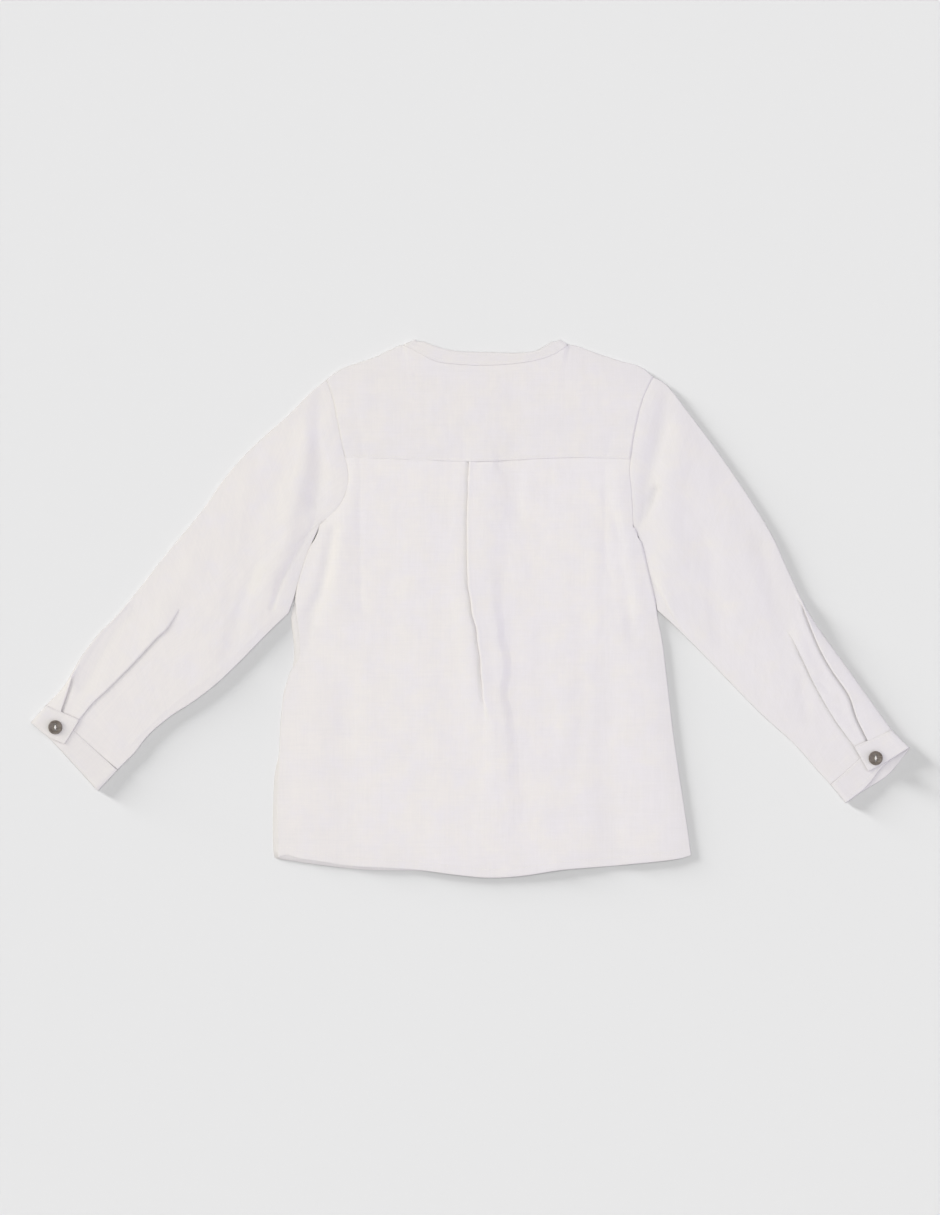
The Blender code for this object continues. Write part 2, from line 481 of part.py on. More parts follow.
def make_collar():
    """The collar band: across the back neck, folded at both corners, round the front neck."""
    floor = BAND_WALL / 2
    back_level = CROWN_YOKE - 0.5
    back_share = np.linspace(0.0, 1.0, 19)
    seam = Line(NECK_SEAM).at(back_share)
    top = Line(BAND_TOP).at(back_share)
    corner_fade = np.exp(-np.minimum(back_share, 1 - back_share) / 0.06)
    level = back_level - (back_level - 3.0) * corner_fade
    rise = SEAM + 0.5
    back_seam = np.column_stack([seam[:, 0], seam[:, 1] + rise, level])
    back_top = np.column_stack([top[:, 0], top[:, 1], level - 0.4])

    def front_half(neck, corner_top, mirror):
        """Seam and top edge of the band on the surface below, from a corner to the placket."""
        share = np.linspace(0.0, 1.0, 12)[1:]
        path = Line(neck).at(share)
        inside = Line([corner_top, (neck[1][0] + mirror * 11.3, neck[1][1] + 4.0),
                       (neck[2][0] + mirror * 9.0, neck[2][1] + 8.0),
                       (neck[3][0] + mirror * 5.0, neck[3][1] + 10.6),
                       (neck[4][0] + mirror * 12.2, neck[4][1] + 11.4)]).at(share)
        outwards = 0.7 * rise * np.array([mirror, 1.0])
        path = path + outwards
        path[-1, 0] = neck[4][0] + mirror * 12.2
        return (np.column_stack([path, np.full(len(share), floor)]),
                np.column_stack([inside, np.full(len(share), floor)]))

    def turn_at(seam_point, top_point, outward):
        """Points round the fold at a corner, from the back level down to the surface below."""
        seams, tops = [], []
        high = (seam_point[2] + top_point[2]) / 2
        middle = (high + floor) / 2
        radius = (high - floor) / 2
        for angle in (45, 90, 135):
            out = radius * math.sin(math.radians(angle))
            z = middle + radius * math.cos(math.radians(angle))
            seams.append((seam_point[0] + outward * out * 0.15, seam_point[1] + out, z))
            tops.append((top_point[0] + outward * out * 0.15, top_point[1] + out, z))
        return np.array(seams), np.array(tops)

    back_seam[0] += (1.8, 0.4, 0.0)
    back_seam[-1] += (-1.8, 0.4, 0.0)
    back_top[0] += (0.3, -1.6, 0.0)
    back_top[-1] += (-0.3, -1.6, 0.0)
    left_seam, left_top = front_half(FRONT_NECK_LEFT, tuple(back_top[0, :2]), 1)
    right_seam, right_top = front_half(FRONT_NECK_RIGHT, tuple(back_top[-1, :2]), -1)
    left_turn = turn_at(back_seam[0], back_top[0], -1)
    right_turn = turn_at(back_seam[-1], back_top[-1], 1)
    seam_row = np.vstack([left_seam[::-1], left_turn[0][::-1], back_seam, right_turn[0], right_seam])
    top_row = np.vstack([left_top[::-1], left_turn[1][::-1], back_top, right_turn[1], right_top])
    grid = np.array([seam_row + (top_row - seam_row) * share for share in (0.0, 0.5, 1.0)])
    return cloth("collar_band", [grid], BAND_WALL)


def make_sleeve(side, outer, underarm, inner, back_arm, front_arm, folds):
    """A flattened tube from armhole to cuff seam, with its slit and its cuff pleat.

    Its first row runs down the armhole and on along the underarm fold to where
    the sleeve leaves the body, so that both layers meet again below the armpit.
    """
    table = CUFFS[side]
    armpit = 0.62
    seam = Line(table["seam"])
    upper = patch(Line(outer), Line(inner), Line(back_arm, underarm, shares=(0.0, armpit, 1.0)), seam)
    lower = patch(Line(outer), Line(inner), Line(front_arm, underarm, shares=(0.0, armpit, 1.0)), seam)
    outer_fold = Line(outer)
    inner_fold = Line(underarm, inner, shares=(0.0, 0.3, 1.0))

    u = np.concatenate([[0.0, 0.002, 0.006, 0.016, 0.05, 0.1], np.linspace(0.17, 0.66, 8),
                        np.linspace(0.71, 0.95, 6), [1.0]])
    ends = upper(u[:, None], np.array([[0.0, 1.0]]))
    wide = np.linalg.norm(ends[:, 1] - ends[:, 0], axis=-1)
    cut_share = SLITS[side][-1]["out"] / wide[-1]
    slit = {key: column(SLITS[side], key, u, "along") for key in ("out", "open")}
    pleat = {key: column(PLEATS[side], key, u, "along") for key in ("out", "fold", "rise")}
    bends = np.array([0.0, 0.4, 1.5, 4.0])

    flap, floor, over, lift = [], [], [], []
    for r in range(len(u)):
        cut = slit["out"][r]
        lap = SLIT_LAP * slit["open"][r]
        rest = wide[r] - cut
        shares = np.array([0.16, 0.3, 0.41, 0.525, 0.64, 0.76, 0.87])
        inward = wide[r] - bends[::-1]
        run = np.concatenate([[cut - lap], cut + rest * shares, inward])
        flap.append(run)
        far = np.concatenate([wide[r] * np.array([0.45, 0.3, 0.15]), bends[::-1]])
        floor.append(np.concatenate([run[:3:-1], far]))
        step_x, step_z = rolled_step(pleat["out"][r], pleat["fold"][r], pleat["rise"][r], -1,
                                     reach=(8.0, pleat["out"][r] - bends[-1] - 1.2))
        last = step_x[-1] + (cut - step_x[-1]) * np.array([0.35, 0.7, 1.0])
        over.append(np.concatenate([bends[1:], step_x, last]))
        lift.append(np.concatenate([np.full(3, pleat["rise"][r]), step_z, np.zeros(3)]))
    flap, floor, over, lift = (np.array(rows) for rows in (flap, floor, over, lift))

    def settle(xy, arm):
        """Draw the folds and the armhole in a little and measure how far the folds are."""
        sense = -1 if side == "right" else 1
        from_outer, outer_normal = nearest(xy, outer_fold)
        from_inner, inner_normal = nearest(xy, inner_fold)
        from_arm, arm_normal = nearest(xy, Line(arm))
        beside_body = np.exp(-nearest(xy, Line(underarm))[0] / 12.0)
        inset = WALL / 2 + SEAM * beside_body
        fade_outer, fade_inner = np.exp(-from_outer / INSET_FADE), np.exp(-from_inner / INSET_FADE)
        fade_arm = np.exp(-from_arm / INSET_FADE) * (1 - fade_inner)
        moved = xy + sense * (outer_normal * (WALL / 2 * fade_outer)[..., None]
                              - inner_normal * (inset * fade_inner)[..., None]
                              - arm_normal * (SEAM / 2 * fade_arm)[..., None])
        return (moved, from_outer - WALL / 2 * (1 - fade_outer),
                from_inner - inset * (1 - fade_inner))

    def upper_layer(distance, added, tab):
        s = distance / wide[:, None]
        xy = upper(u[:, None], s)
        if tab:
            ease = np.clip((u - 0.74) / 0.26, 0, 1)[:, None, None]
            end_share = np.clip(distance / slit["out"][:, None], 0, 1)
            xy = xy + ease**2 * (Line(table["tab_seam"]).at(end_share) - seam.at(cut_share * end_share))
        xy, from_outer, from_inner = settle(xy, back_arm)
        join = np.exp(-u / 0.04)[:, None]
        crown = CROWN_SLEEVE + (CROWN_WRIST - CROWN_SLEEVE) * u[:, None] ** 2
        z = loft(from_outer, from_inner, crown * (1 - join) + ARMHOLE_TOP * join)
        inside = (1 - np.exp(-from_outer / FOLD_FADE)) * (1 - np.exp(-from_inner / FOLD_FADE)) * (1 - join)
        z = z + fold_height(folds, xy) * inside + added * (1 - np.exp(-from_outer / 5.0))
        return np.dstack([xy, z])

    from_lap = np.clip(slit["out"][:, None] - SLIT_LAP - over, 0, None)
    lap_lift = slit["open"][:, None] * LEVEL * np.exp(-from_lap / FOLD_FADE)
    xy, from_outer, from_inner = settle(lower(u[:, None], floor / wide[:, None]), front_arm)
    near = np.minimum(from_outer, from_inner)
    z = EDGE - TURN * np.sqrt(1 - (1 - np.clip(near / TURN, 0, 1)) ** 2)
    grid = np.concatenate([upper_layer(flap, np.zeros(flap.shape), False), np.dstack([xy, z])[:, 1:],
                           upper_layer(over, lift + lap_lift, True)], axis=1)
    draw_in(grid, "last", SEAM / 2)
    return cloth("sleeve_" + side, [grid], WALL)


def make_cuff(side):
    """A band round the wrist: its lap, the fold, the underside, the other fold, its tab."""
    table = CUFFS[side]
    seam, tab_seam = Line(table["seam"]), Line(table["tab_seam"])
    lap_edge, under_edge, tab_edge = (Line(table[edge]) for edge in ("lap_edge", "under_edge", "tab_edge"))
    low = BAND_WALL / 2
    lap = low + BAND_WALL + GAP
    high = lap + BAND_WALL + GAP
    inset = BAND_WALL / 2
    small = (lap - low) / 2
    big = (high - low) / 2

    rows = []
    for share in (0.18, 0.3, 0.45, 0.6, 0.75, 0.88):
        rows.append((seam.at(share), lap_edge.at(share), lap))
    for angle in (90, 45, 0, -45, -90):
        back = (inset + small - small * math.cos(math.radians(angle))) / CUFF_LENGTH
        z = low + small + small * math.sin(math.radians(angle))
        edge = lap_edge if angle > 0 else under_edge
        rows.append((seam.at(1 - back), edge.at(1 - back), z))
    for share in (0.85, 0.7, 0.55, 0.4, 0.25, 0.12):
        rows.append((seam.at(share), under_edge.at(share), low))
    for angle in (-90, -45, 0, 45, 90):
        back = (inset + big - big * math.cos(math.radians(angle))) / CUFF_LENGTH
        z = low + big + big * math.sin(math.radians(angle))
        along = seam if angle <= 0 else tab_seam
        edge = under_edge if angle <= 0 else tab_edge
        stretch = 1.0 if angle <= 0 else CUFF_LENGTH / TAB_LENGTH
        rows.append((along.at(back * stretch), edge.at(back * stretch), z))
    for share in (0.25, 0.45, 0.65, 0.85, 1.0):
        rows.append((tab_seam.at(share), tab_edge.at(share), high))

    grid = []
    for across in (0.0, 0.33, 0.67, 1.0):
        grid.append([(*(a + (b - a) * across), z) for a, b, z in rows])
    grid = np.array(grid)
    draw_in(grid, "first", SEAM / 2 + 0.2)
    return cloth("cuff_" + side, [grid], BAND_WALL), high + BAND_WALL / 2


def make_button(side, seat):
    """A two-hole button: a turned disc with a raised rim round a dished middle."""
    name = "button_cuff_" + side
    profile = [(0.0, 0.0), (BUTTON_RADIUS - 1.2, 0.0), (BUTTON_RADIUS - 0.2, 0.6), (BUTTON_RADIUS, 1.2),
               (BUTTON_RADIUS - 0.3, BUTTON_THICK - 0.3), (BUTTON_RADIUS - 0.8, BUTTON_THICK),
               (BUTTON_RADIUS - BUTTON_RIM, BUTTON_THICK - 0.2),
               (BUTTON_RADIUS - BUTTON_RIM - 0.8, BUTTON_THICK - BUTTON_DISH), (0.0, BUTTON_THICK - BUTTON_DISH)]
    mesh = bpy.data.meshes.new(name)
    work = bmesh.new()
    points = [work.verts.new((r * MM, 0.0, z * MM)) for r, z in profile]
    edges = [work.edges.new(pair) for pair in zip(points, points[1:])]
    bmesh.ops.spin(work, geom=points + edges, cent=(0, 0, 0), axis=(0, 0, 1),
                   angle=2 * math.pi, steps=BUTTON_SIDES, use_merge=True)
    bmesh.ops.remove_doubles(work, verts=work.verts, dist=0.02 * MM)
    bmesh.ops.recalc_face_normals(work, faces=work.faces)
    work.to_mesh(mesh)
    work.free()
    button = bpy.data.objects.new(name, mesh)
    bpy.context.collection.objects.link(button)
    x, y = CUFFS[side]["button"]
    button.location = ((x - CENTRE[0]) * MM, (y - CENTRE[1]) * MM, (seat + GAP) * MM)
    mesh.materials.append(material(name, BUTTON_COLOUR, 0.45))
    mesh.shade_smooth()
    mesh.set_sharp_from_angle(angle=math.radians(40))
    for sign in (-1, 1):
        drill(button, name + ("_drill_low" if sign < 0 else "_drill_high"), sign * HOLE_OFFSET)
    return button


def drill(button, name, offset):
    """Cut one thread hole through a button, off its middle along Y."""
    bpy.ops.mesh.primitive_cylinder_add(vertices=12, radius=HOLE_RADIUS * MM, depth=4 * BUTTON_THICK * MM)
    cutter = bpy.context.object
    cutter.name = name
    cutter.location = (button.location.x, button.location.y + offset * MM, button.location.z)
    cutter.hide_render = True
    cutter.display_type = "WIRE"
    cut = button.modifiers.new(name, "BOOLEAN")
    cut.operation = "DIFFERENCE"
    cut.object = cutter
    cut.solver = "EXACT"


def clear_scene():
    for old in list(bpy.data.objects):
        bpy.data.objects.remove(old)


def main():
    clear_scene()
    make_back()
    make_yoke()
    make_front("front_left", FRONT_NECK_LEFT, FRONT_YOKE_SEAM_LEFT, FRONT_ARM_LEFT,
               FRONT_SIDE_LEFT, FRONT_HEM_LEFT, PLACKET_LEFT)
    make_front("front_right", FRONT_NECK_RIGHT, FRONT_YOKE_SEAM_RIGHT, FRONT_ARM_RIGHT,
               BACK_SIDE_RIGHT, FRONT_HEM_RIGHT[::-1], PLACKET_RIGHT)
    make_placket()
    make_collar()
    make_sleeve("left", LEFT_OUTER, LEFT_UNDERARM, LEFT_INNER,
                YOKE_ARM_LEFT + BACK_ARM_LEFT[1:], [SHOULDER_LEFT[0]] + FRONT_ARM_LEFT, LEFT_FOLDS)
    make_sleeve("right", RIGHT_OUTER, RIGHT_UNDERARM, RIGHT_INNER,
                YOKE_ARM_RIGHT + BACK_ARM_RIGHT[1:], [SHOULDER_RIGHT[-1]] + FRONT_ARM_RIGHT, RIGHT_FOLDS)
    for side in ("left", "right"):
        cuff, seat = make_cuff(side)
        make_button(side, seat)


main()
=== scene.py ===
# %% [markdown]
# # A child's linen shirt, laid flat with its back up
#
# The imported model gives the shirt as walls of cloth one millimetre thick. This
# script dresses it: every cut piece of cloth is worked out again as a finer and
# thinner sheet on the same form, with its folds, pressed creases and crumple.
# Then come the stitching, the linen, the buttons, the light and the camera.

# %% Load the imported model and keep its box
import math

import bmesh
import bpy
import numpy as np
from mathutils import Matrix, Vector
from mathutils.bvhtree import BVHTree


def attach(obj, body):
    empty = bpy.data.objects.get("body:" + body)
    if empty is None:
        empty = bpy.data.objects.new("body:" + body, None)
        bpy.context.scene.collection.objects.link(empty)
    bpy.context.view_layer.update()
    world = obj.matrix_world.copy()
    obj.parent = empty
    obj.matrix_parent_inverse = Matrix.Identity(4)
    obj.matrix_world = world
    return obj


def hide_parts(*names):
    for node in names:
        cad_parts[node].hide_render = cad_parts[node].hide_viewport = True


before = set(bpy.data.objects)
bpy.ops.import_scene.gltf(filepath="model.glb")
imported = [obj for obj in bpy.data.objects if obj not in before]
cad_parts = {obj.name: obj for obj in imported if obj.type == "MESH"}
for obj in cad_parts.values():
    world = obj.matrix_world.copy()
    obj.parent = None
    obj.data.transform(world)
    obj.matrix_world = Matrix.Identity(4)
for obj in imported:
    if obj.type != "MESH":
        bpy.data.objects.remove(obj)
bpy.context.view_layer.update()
scene = bpy.context.scene

# %% [markdown]
# ## Camera
#
# A flat lay is photographed from straight above. One pixel of the picture is
# 0.85 mm on the table, so the width of the view is known, and the focal length
# follows from how high the camera hangs. A high camera with a long lens keeps
# the raised folds from leaning outwards. A nudge of about half a pixel brings
# the view into line with the picture.

# %% Hang the camera over the table
MM = 0.001
IMAGE_HEIGHT = 1215
MM_PER_PIXEL = 0.85
CENTRE = (0.33, -0.07)
CAMERA_HEIGHT = 3.2
SENSOR = 36.0
NUDGE_UP = 0.4

lens = bpy.data.cameras.new("copy_stand")
lens.sensor_fit = "VERTICAL"
lens.sensor_height = SENSOR
lens.lens = SENSOR * CAMERA_HEIGHT / (IMAGE_HEIGHT * MM_PER_PIXEL * MM)
lens.clip_end = 20.0
camera = bpy.data.objects.new("copy_stand", lens)
camera.location = (-CENTRE[0] * MM, (-CENTRE[1] + NUDGE_UP) * MM, CAMERA_HEIGHT)
scene.collection.objects.link(camera)
scene.camera = camera
print("focal length", round(lens.lens, 1), "mm")

# %% [markdown]
# ## Sizes of the cloth
#
# Most of these are sizes that the solids were made with, in millimetres, so each
# sheet lies where its solid lies. The wall is thinner here: half a millimetre,
# and 0.9 for the bands, which have more layers. The sizes from TUCK on shape the
# sheets alone: how far an edge runs under its neighbour, how low a fold may sink,
# and how the sides of the back lie on the sleeves as far down as these touch it.

# %% Name the sizes
CLOTH = 0.5
BAND_CLOTH = 0.9
WALL = 1.0
BAND_WALL = 1.4
GAP = 0.3
SEAM = 0.6
LEVEL = WALL + GAP
FLOOR = WALL / 2
TURN = 0.9
EDGE = FLOOR + TURN
CROWN_BODY = 4.0
CROWN_YOKE = 4.2
HEM_EDGE = 2.3
ARMHOLE_TOP = 4.3
CROWN_SLEEVE = 5.0
CROWN_WRIST = 2.4
SOFTEN = 16.0
SLIT_LAP = 6.0
PLEAT_DEPTH = 3.0
TUCK = 1.2
UNDER_SEAM = 0.9
HAIR = 0.05
LOW_EDGE = 1.25
LOWEST_FOLD = 1.5
OVER_FOLD = {"left": 2.6, "right": 3.0}
OVERLAP = {"left": 1.1, "right": 1.6}
SLEEVE_LEAVES = {"left": -4.0, "right": -1.7}

# %% [markdown]
# ## Outlines
#
# Each cut piece is bounded by a few short curves, given by the points where the
# edge changes its course. They were measured on the flat shirt, in millimetres
# from the middle of the picture, X to the right and Y towards the collar.

# %% Outlines of the body
SHOULDER_LEFT = [(-122.0, 193.8), (-117.0, 198.0), (-106.8, 204.1), (-94.7, 208.3),
                 (-80.2, 213.3), (-69.2, 218.7), (-57.0, 224.0)]
SHOULDER_RIGHT = [(83.6, 223.8), (91.0, 222.5), (103.4, 217.9), (124.7, 210.8),
                  (145.9, 204.4), (155.5, 196.3)]
NECK_SEAM = [(-56.5, 223.0), (-46.2, 218.1), (-36.5, 212.6), (-28.1, 209.1), (-7.3, 206.5),
             (17.0, 206.0), (39.7, 207.6), (60.9, 211.5), (73.7, 216.5), (83.0, 223.3)]
BAND_TOP = [(-46.2, 228.7), (-37.7, 225.3), (-25.5, 221.1), (-11.0, 218.1), (17.0, 217.1),
            (39.7, 216.5), (56.7, 218.6), (68.0, 225.0), (75.8, 228.9)]
YOKE_SEAM = [(-106.2, 128.3), (-59.5, 126.6), (-18.7, 125.0), (0.8, 124.5), (21.2, 125.0),
             (51.0, 126.6), (93.5, 127.9), (136.0, 126.6)]
YOKE_ARM_LEFT = [(-122.0, 193.8), (-116.5, 176.8), (-113.0, 159.8), (-109.6, 142.8),
                 (-106.2, 128.3)]
YOKE_ARM_RIGHT = [(155.5, 196.3), (146.2, 175.1), (140.2, 151.3), (136.0, 126.6)]
BACK_ARM_LEFT = [(-106.2, 128.3), (-103.7, 117.3), (-103.7, 104.5), (-110.5, 87.5), (-125.8, 72.2)]
BACK_ARM_RIGHT = [(136.0, 126.6), (135.2, 115.6), (136.8, 100.3), (137.7, 83.3), (138.5, 68.0)]
BACK_SIDE_LEFT = [(-125.8, 72.2), (-134.3, 53.5), (-141.9, 32.3), (-147.5, 6.8), (-145.3, -27.2),
                  (-145.5, -42.0), (-152.2, -53.5), (-157.2, -69.7), (-160.7, -95.2),
                  (-162.0, -122.4), (-164.0, -163.2), (-163.2, -211.7)]
BACK_SIDE_RIGHT = [(138.5, 68.0), (143.7, 56.9), (149.6, 33.1), (157.2, 0.8), (163.2, -28.1),
                   (166.6, -55.2), (173.4, -112.2), (183.6, -180.2), (187.8, -209.9)]
FRONT_SIDE_LEFT = [(-125.8, 72.2), (-134.3, 53.5), (-141.9, 32.3), (-148.8, 6.8), (-152.2, -7.6),
                   (-149.6, -34.9), (-151.3, -52.7), (-158.1, -69.7), (-162.3, -122.4),
                   (-166.2, -141.9), (-167.4, -205.7), (-166.2, -212.5)]
BACK_HEM = [(-163.2, -211.7), (-155.1, -209.9), (-147.9, -212.5), (-130.9, -215.0),
            (-104.1, -219.0), (-42.5, -222.7), (-17.0, -226.1), (14.4, -229.1), (42.5, -227.8),
            (76.5, -222.7), (129.6, -218.3), (180.2, -212.5), (187.8, -209.9)]
FRONT_HEM_LEFT = [(-166.2, -212.5), (-130.0, -218.0), (-88.0, -222.5), (-42.5, -223.5),
                  (0.5, -226.5)]
FRONT_HEM_RIGHT = [(187.8, -209.0), (129.6, -216.5), (76.5, -221.0), (25.5, -226.5)]
FRONT_NECK_LEFT = [(-56.5, 223.0), (-54.5, 205.0), (-45.0, 183.0), (-24.0, 165.0), (0.5, 158.5)]
FRONT_NECK_RIGHT = [(83.0, 223.3), (81.0, 205.0), (71.0, 183.0), (50.0, 165.0), (25.5, 158.5)]
FRONT_YOKE_SEAM_LEFT = [(-110.0, 177.0), (-82.0, 196.0), (-54.5, 205.0)]
FRONT_YOKE_SEAM_RIGHT = [(141.0, 179.0), (110.0, 196.0), (81.0, 205.0)]
FRONT_ARM_LEFT = [(-110.0, 177.0), (-104.0, 155.0), (-100.0, 130.0), (-100.5, 108.0),
                  (-107.0, 91.0), (-116.0, 80.5), (-125.8, 72.2)]
FRONT_ARM_RIGHT = [(141.0, 179.0), (131.0, 157.0), (125.0, 130.0), (125.0, 108.0), (129.0, 90.0),
                   (133.5, 79.0), (138.5, 68.0)]
PLACKET_LEFT = 0.5
PLACKET_RIGHT = 25.5

# %% Outlines of the sleeves and cuffs
SLEEVES = {
    "left": dict(
        outer=[(-122.0, 193.8), (-136.0, 182.2), (-153.0, 164.9), (-187.0, 134.3), (-209.3, 108.8),
               (-226.3, 84.3), (-259.2, 44.2), (-279.3, 18.4), (-302.3, -9.0), (-315.7, -22.4),
               (-330.3, -41.6), (-344.8, -66.0), (-360.1, -82.8)],
        underarm=[(-125.8, 72.2), (-134.3, 53.5), (-141.9, 32.3), (-149.6, 6.8), (-153.8, -4.2)],
        inner=[(-153.8, -4.2), (-167.9, -17.4), (-212.5, -61.8), (-236.8, -80.7), (-253.8, -91.5),
               (-273.2, -108.0), (-285.3, -123.2), (-299.0, -136.8)]),
    "right": dict(
        outer=[(155.5, 196.3), (165.8, 190.4), (187.0, 164.0), (215.3, 125.8), (243.7, 83.3),
               (257.8, 59.2), (269.2, 33.7), (287.8, -4.2), (321.8, -52.7), (358.2, -103.7)],
        underarm=[(138.5, 68.0), (143.7, 56.9), (149.6, 33.1), (158.7, -1.7)],
        inner=[(158.7, -1.7), (172.8, -14.4), (201.2, -42.8), (246.5, -89.2), (276.8, -117.0),
               (295.0, -137.7), (306.0, -149.5)]),
}
CUFFS = {
    "left": dict(seam=[(-360.1, -82.8), (-299.6, -137.6)],
                 tab_seam=[(-360.1, -82.8), (-331.5, -94.6)],
                 lap_edge=[(-372.8, -97.0), (-357.0, -111.0), (-316.3, -155.0)],
                 under_edge=[(-372.8, -97.0), (-357.0, -111.5), (-316.3, -155.4)],
                 tab_edge=[(-372.8, -97.0), (-366.0, -103.0), (-357.6, -109.7), (-344.2, -115.5)],
                 button=(-351.8, -101.2)),
    "right": dict(seam=[(358.2, -103.7), (306.4, -150.1)],
                  tab_seam=[(358.2, -103.7), (326.1, -117.6)],
                  lap_edge=[(373.0, -119.0), (351.0, -134.0), (336.4, -152.2), (319.3, -165.4)],
                  under_edge=[(373.4, -119.5), (354.5, -142.5), (336.4, -153.9), (319.3, -165.8)],
                  tab_edge=[(373.4, -118.2), (355.8, -129.2), (338.2, -138.9)],
                  button=(344.2, -127.4)),
}

# %% [markdown]
# ## Pleats and slits
#
# Each cuff has a slit above it, so that a hand can pass, and one pleat that takes
# in the width of the sleeve. Both wander, so their lines are given by points.
# The box pleat of the back changes along its way, crisply folded near the yoke,
# a soft slope further on, and gone at its end. Its table gives, from the yoke to
# the hem, the two edges, how far it is folded, the reach of the slopes, and the
# rise.

# %% Lines of the slits and pleats
SLIT_LINES = {
    "left": [(-246.2, -1.2), (-257.9, -18.6), (-265.5, -25.4), (-277.4, -38.2), (-289.3, -50.9),
             (-298.7, -60.3), (-309.7, -71.3), (-320.8, -81.5), (-331.5, -94.6)],
    "right": [(269.5, -20.5), (273.8, -27.1), (282.3, -44.1), (291.9, -64.3), (305.7, -88.8),
              (316.3, -104.5), (326.1, -117.6)],
}
PLEAT_LINES = {
    "left": [(-330.5, -40.6), (-334.6, -46.9), (-338.0, -56.3), (-342.6, -71.3), (-348.5, -88.5)],
    "right": [(275.5, 20.6), (284.4, -1.6), (297.2, -33.5), (307.8, -52.6), (322.7, -74.7),
              (329.0, -93.0), (338.2, -112.0)],
}
CUT_WIDTH = {"left": 31.0, "right": 35.0}
PLEAT_RISE = 2.2
PLEAT_COLUMNS = ("y", "left", "right", "fold", "low", "high", "rise")
BOX_PLEAT = [dict(zip(PLEAT_COLUMNS, row)) for row in (
    (125.0, -0.4, 21.6, 1.0, 3.0, 3.0, 1.6),
    (104.0, -1.2, 25.5, 1.0, 3.0, 10.0, 1.9),
    (70.0, -2.2, 24.5, 1.0, 3.0, 12.0, 1.9),
    (40.0, -2.0, 24.0, 1.0, 3.0, 11.0, 1.9),
    (22.0, -1.2, 23.0, 1.0, 3.0, 8.0, 2.3),
    (0.0, 1.8, 23.5, 1.0, 3.0, 5.5, 2.6),
    (-22.0, 6.5, 26.5, 0.9, 3.0, 4.6, 2.9),
    (-48.0, 9.2, 31.5, 0.75, 3.0, 4.8, 3.0),
    (-75.0, 10.6, 28.5, 0.5, 3.5, 4.8, 2.9),
    (-88.0, 13.8, 31.5, 0.15, 5.0, 5.0, 2.8),
    (-99.0, 18.0, 33.5, 0.0, 9.0, 6.0, 2.3),
    (-130.0, 20.0, 36.5, 0.0, 14.0, 6.5, 1.8),
    (-165.0, 19.0, 38.0, 0.0, 16.0, 8.0, 1.1),
    (-200.0, 18.0, 37.0, 0.0, 16.0, 9.0, 0.4),
    (-230.0, 17.0, 36.0, 0.0, 16.0, 9.0, 0.0),
)]

# %% [markdown]
# ## Folds and pressed creases
#
# Cloth that has been folded for a shelf keeps the lines of that fold, and the
# sleeves carry soft rolls from being laid out. Each row gives a kind, a width, a
# height and the points of a line: "soft" folds have a bell across the line,
# "crease" folds a sharp bed, and a "lip" rises on one side of its line alone.

# %% Tables of folds
BODY_FOLDS = [
    ("soft", 11.0, 0.9, [(-4.0, 10.0), (2.0, -40.0), (8.0, -105.0)]),
    ("soft", 13.0, 1.3, [(-104.0, 118.0), (-112.0, 60.0), (-116.0, 0.0)]),
    ("soft", 11.0, 1.3, [(127.0, 112.0), (132.0, 60.0), (143.0, 0.0)]),
    ("soft", 16.0, -0.8, [(-108.0, -80.0), (-110.0, -205.0)]),
    ("soft", 14.0, -0.9, [(114.0, -50.0), (116.0, -205.0)]),
    ("crease", 2.4, -0.55, [(-93.5, 127.0), (-93.5, 60.0), (-92.5, -2.0)]),
    ("crease", 2.4, -0.55, [(114.8, 121.0), (114.8, 70.0), (115.5, 32.0)]),
    ("soft", 5.0, -0.4, [(121.5, 74.8), (130.0, 30.0), (136.0, -10.2)]),
    ("soft", 6.0, -0.5, [(35.0, 122.0), (38.0, 80.0)]),
    ("soft", 14.0, 0.35, [(-40.0, 118.0), (-44.0, 20.0), (-36.0, -90.0)]),
    ("soft", 10.0, -0.3, [(-66.0, 60.0), (-70.0, -60.0)]),
    ("soft", 12.0, -0.35, [(62.0, 100.0), (58.0, 10.0), (66.0, -120.0)]),
    ("soft", 14.0, 0.4, [(-30.0, -120.0), (-24.0, -210.0)]),
    ("soft", 12.0, 0.4, [(60.0, -130.0), (70.0, -212.0)]),
    ("soft", 5.5, -2.0, [(-116.5, 66.0), (-125.8, 19.5), (-139.0, -14.0), (-142.0, -33.0)]),
    ("soft", 4.0, -0.7, [(116.0, 95.0), (124.0, 72.0), (130.0, 54.0)]),
    ("soft", 5.0, -0.6, [(134.0, 30.0), (137.0, -25.0)]),
    ("soft", 4.0, -0.35, [(42.0, 122.0), (42.0, 76.0)]),
    ("soft", 7.0, -0.45, [(92.0, -20.0), (95.0, -80.0), (90.0, -140.0)]),
    ("soft", 6.0, 0.4, [(104.0, 60.0), (108.0, -20.0)]),
]
YOKE_FOLDS = [
    ("crease", 3.0, -0.4, [(-99.5, 179.3), (-95.2, 159.8), (-91.0, 129.2)]),
    ("crease", 3.0, -0.4, [(125.8, 165.8), (120.4, 148.8), (116.2, 128.6)]),
    ("soft", 9.0, -0.5, [(-85.0, 196.0), (-50.0, 201.0), (-20.0, 190.0)]),
    ("soft", 8.0, -0.4, [(35.0, 186.0), (44.0, 160.0), (40.0, 134.0)]),
    ("soft", 8.0, 0.4, [(88.0, 206.0), (96.0, 180.0)]),
]
